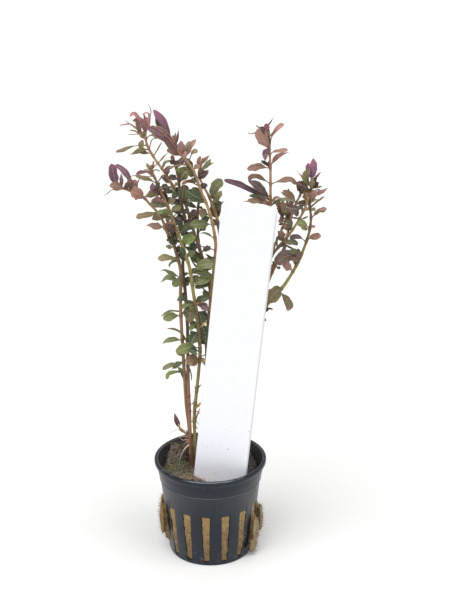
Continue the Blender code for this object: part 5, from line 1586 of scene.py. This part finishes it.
def build_pot():
    """The pot: its section turned about the axis, with the slots cut and every edge softened."""
    data = bpy.data.meshes.new("pot_turned")
    points = [(radius, 0, height) for radius, height in pot_profile()]
    data.from_pydata(points, [(i, i + 1) for i in range(len(points) - 1)], [])
    pot = helper("pot_turned", data)
    turned = pot.modifiers.new("turned", "SCREW")
    turned.steps = turned.render_steps = POT_SIDES
    turned.use_merge_vertices = True
    turned.merge_threshold = WELD
    cutter = slot_cutter()
    cut = pot.modifiers.new("slots", "BOOLEAN")
    cut.object = cutter
    cut.operation = "DIFFERENCE"
    soften(pot, POT_BEVEL, POT_BEVEL_ANGLE)
    data = modified(pot)
    bpy.data.objects.remove(cutter, do_unlink=True)
    show(data, "pot", [MATERIALS["pot"]], ("net_pot",))
    data.set_sharp_from_angle(angle=math.radians(POT_SHARP_ANGLE))


def label_place():
    """Where the label stands: its foot, its lean to the right and the back, and its turn."""
    turn = Matrix.Rotation(LABEL_YAW, 4, "Z") @ Matrix.Rotation(-LABEL_BACK, 4, "X")
    return Matrix.Translation(LABEL_FOOT) @ turn @ Matrix.Rotation(LABEL_LEAN, 4, "Y")


def label_half(level, corner):
    """How far the label's side is from its middle at this level, with this corner rounding."""
    into = max(0.0, corner - level, level - (LABEL_SIZE[2] - corner))
    return LABEL_SIZE[0] / 2 - corner + math.sqrt(max(0.0, corner**2 - into**2))


def on_label(across, down):
    """The point of the label's face that is seen at this pixel of the picture, and the face's normal."""
    spot = label_place()
    normal = (spot.to_3x3() @ Vector((0, -1, 0))).normalized()
    face = spot.translation + normal * (LABEL_SIZE[1] / 2)
    ray = (place(across, down, 0) - EYE).normalized()
    return EYE + ray * ((face - EYE).dot(normal) / ray.dot(normal)), normal


def build_label():
    """A thin plate with rounded corners, one of them worn, and softened edges."""
    width, depth, height = LABEL_SIZE
    shape = bmesh.new()
    levels = [height * i / LABEL_ROWS for i in range(LABEL_ROWS + 1)]
    for corner in (LABEL_CORNER, LABEL_WORN_CORNER):
        turns = [math.radians(90 * i / LABEL_CORNER_ROWS) for i in range(LABEL_CORNER_ROWS + 1)]
        rises = [corner * (1 - math.cos(turn)) for turn in turns]
        levels.extend(rises)
        levels.extend(height - rise for rise in rises)
    levels = sorted({round(level, 7) for level in levels})
    grid = []
    for level in levels:
        top_corner = LABEL_WORN_CORNER if level > height / 2 else LABEL_CORNER
        left = -label_half(level, LABEL_CORNER)
        right = label_half(level, top_corner)
        spots = [left + (right - left) * j / LABEL_COLUMNS for j in range(LABEL_COLUMNS + 1)]
        grid.append([shape.verts.new((spot, 0, level)) for spot in spots])
    for lower, upper in zip(grid, grid[1:]):
        for j in range(LABEL_COLUMNS):
            shape.faces.new((lower[j], lower[j + 1], upper[j + 1], upper[j]))
    plate = helper_of(shape, "label_plate")
    verts = plate.data.vertices
    add_mark(plate.data, "across", [vert.co.x / width + 0.5 for vert in verts])
    add_mark(plate.data, "up", [vert.co.z / height for vert in verts])
    thick = plate.modifiers.new("thick", "SOLIDIFY")
    thick.thickness = depth
    thick.offset = 0
    soften(plate, LABEL_BEVEL, LABEL_BEVEL_ANGLE)
    data = modified(plate)
    data.transform(label_place())
    show(data, "label_sheet", [MATERIALS["label"]], ("label",))
    data.set_sharp_from_angle(angle=math.radians(LABEL_SHARP_ANGLE))


def build_wool():
    """The solid's lumps with a finer, rough and fibrous surface, and the slots filled to their edges."""
    shape = bmesh.new()
    shape.from_mesh(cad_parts["rockwool"].data)

    def reach(out, height):
        return wall_radius(height) + (FILL_OUT if out > 0 else -FILL_IN)

    for index in range(SLOTS):
        slot_wedge(shape, index, SLOT_PLAY, reach)
    wool = helper_of(shape, "wool_rough")
    fine = wool.modifiers.new("fine", "REMESH")
    fine.mode = "VOXEL"
    fine.voxel_size = WOOL_MESH
    data = modified(wool)
    flat, upright, depth = WOOL_TEARS
    moved = []
    for vert in data.vertices:
        point = vert.co
        rough = noise.fractal(point * WOOL_FUZZ[0], *FUZZ_LAYERS) * WOOL_FUZZ[1]
        lumps = noise.noise(point * WOOL_LUMPS[0]) * WOOL_LUMPS[1]
        torn = min(0.0, noise.noise(Vector((point.x * flat, point.y * flat, point.z * upright)))) * depth
        strength = WOOL_ROUGH_TOP if point.z > WOOL_TOP else WOOL_ROUGH_SIDE
        moved.extend(point + vert.normal * (rough + lumps + torn) * strength)
    data.vertices.foreach_set("co", moved)
    data.update()
    data.materials.clear()
    return show(data, "wool", [MATERIALS["wool"]], ("rockwool",))


def scatter(piece, count, accept, luck):
    """Places on the piece's surface, with the normal there, spread by area."""
    data = piece.data
    data.calc_loop_triangles()
    points = [vert.co for vert in data.vertices]
    kept = []
    areas = []
    for tri in data.loop_triangles:
        a, b, c = (points[i] for i in tri.vertices)
        if accept((a + b + c) / 3):
            kept.append((a, b, c, tri.normal.copy()))
            areas.append(tri.area)
    chosen = luck.choices(kept, weights=areas, k=count)
    spots = []
    for a, b, c, normal in chosen:
        u, v = luck.random(), luck.random()
        if u + v > 1:
            u, v = 1 - u, 1 - v
        spots.append((a + (b - a) * u + (c - a) * v, normal))
    return spots


def build_fibres(wool):
    """Loose fibres that stand out of the wool and lie across it."""
    luck = random.Random(FIBRE_SEED)

    def showing(point):
        return point.z > LOOSE_LEVEL or math.hypot(point.x, point.y) > wall_radius(point.z) + PROUD

    skin = Skin("tint")
    for spot, normal in scatter(wool, FIBRES, showing, luck):
        length = luck.uniform(*FIBRE_LENGTH)
        loose = Vector([luck.uniform(-1, 1) for _ in range(3)])
        way = (normal * luck.uniform(*FIBRE_LIFT) + loose).normalized()
        droop = Vector([luck.uniform(-1, 1) for _ in range(3)]) * length * FIBRE_BEND
        middle = spot + way * length * 0.5 + droop * 0.5
        line = [spot - way * FIBRE_SUNK, middle, spot + way * length - droop * 0.2]
        radius = luck.uniform(*FIBRE_RADIUS)
        tint = luck.random()
        top = spot.z > LOOSE_LEVEL and math.hypot(spot.x, spot.y) < WALL_RADIUS_TOP
        tube(skin, line, [radius, radius, radius * 0.5], FIBRE_SIDES, int(top), tint=[tint] * len(line))
    materials = [MATERIALS["wool_fibre"], MATERIALS["top_fibre"]]
    return skin.piece("wool_fibres", materials, "wool")


def crumb(skin, spot, normal, size, luck):
    """An uneven grain, a little flattened, half sunk in the surface that it lies on."""
    tint = luck.random()
    seed = Vector([luck.uniform(0, CRUMB_SPREAD) for _ in range(3)])
    first = normal.orthogonal().normalized()
    second = normal.cross(first)
    stretch = luck.uniform(*CRUMB_STRETCH)
    rings = []
    for level in CRUMB_LEVELS:
        around = math.sqrt(1 - level * level)
        ring = []
        for k in range(CRUMB_SIDES):
            turn = 2 * math.pi * k / CRUMB_SIDES
            side = Vector((around * math.cos(turn), around * math.sin(turn), level))
            side *= 1 + CRUMB_UNEVEN * noise.noise(seed + side * CRUMB_NOISE)
            flat = first * side.x * stretch + second * side.y
            ring.append(spot + size * (flat + normal * side.z * CRUMB_HEIGHT))
        rings.append(skin.loop(ring, tint=tint))
    skin.skin(rings)


def build_crumbs(wool):
    """Crumbs of soil and wool that lie on top of the plug, and the grit on the label."""
    luck = random.Random(CRUMB_SEED)
    skin = Skin("tint")

    def on_top(point):
        return point.z > LOOSE_LEVEL and math.hypot(point.x, point.y) < WALL_RADIUS_TOP - WALL

    for spot, normal in scatter(wool, CRUMBS, on_top, luck):
        crumb(skin, spot, normal, luck.uniform(*CRUMB_SIZE), luck)
    for across, down, size in LABEL_SPECKS:
        spot, normal = on_label(across, down)
        crumb(skin, spot, normal, size * MM / 2, luck)
    return skin.piece("crumbs", [MATERIALS["crumb"]], "wool")


def add_floor():
    """The pale plain floor."""
    n = Nodes("floor")
    cloud = n.noise(6, 3, 0.5)
    base = n.mix(n.span(cloud, 0.3, 0.7), *FLOOR_SHADES)
    material = n.set(Base_Color=base, Roughness=0.6)
    data = bpy.data.meshes.new("floor")
    corners = [(x * FLOOR_HALF, y * FLOOR_HALF, 0) for x, y in ((-1, -1), (1, -1), (1, 1), (-1, 1))]
    data.from_pydata(corners, [], [(0, 1, 2, 3)])
    data.materials.append(material)
    helper("floor", data)


def add_sun(name, towards, strength, softness):
    """Even light from one direction, with soft shadows."""
    data = bpy.data.lights.new(name, "SUN")
    data.energy = strength
    data.angle = math.radians(softness)
    light = bpy.data.objects.new(name, data)
    light.rotation_euler = Vector(towards).to_track_quat("-Z", "Y").to_euler()
    bpy.context.scene.collection.objects.link(light)


def add_lights():
    """A white sky and the suns of a soft studio."""
    world = bpy.data.worlds.new("studio")
    world.use_nodes = True
    sky = world.node_tree.nodes["Background"]
    sky.inputs["Color"].default_value = (1, 1, 1, 1)
    sky.inputs["Strength"].default_value = SKY_STRENGTH
    bpy.context.scene.world = world
    for name, light in SUNS.items():
        add_sun(name, *light)
    bpy.context.scene.view_settings.view_transform = "Standard"


def make_materials():
    """Every material of the object by name."""
    made = {"leaf_" + name: leaf_material(name) for name in LEAF_COLOURS}
    made.update({"stem_" + name: stem_material(name) for name in STEM_COLOURS})
    made.update({name: strand_material(name) for name in STRAND_COLOURS})
    made.update({"pot": pot_material(), "label": label_material()})
    made.update({"root": root_material(), "wool": wool_material()})
    return made


add_camera()
MATERIALS = make_materials()
build_pot()
build_label()
for stem_name, stem in STEMS.items():
    build_stem(stem_name, stem)
build_root()
plug = build_wool()
build_fibres(plug)
build_crumbs(plug)
add_floor()
add_lights()
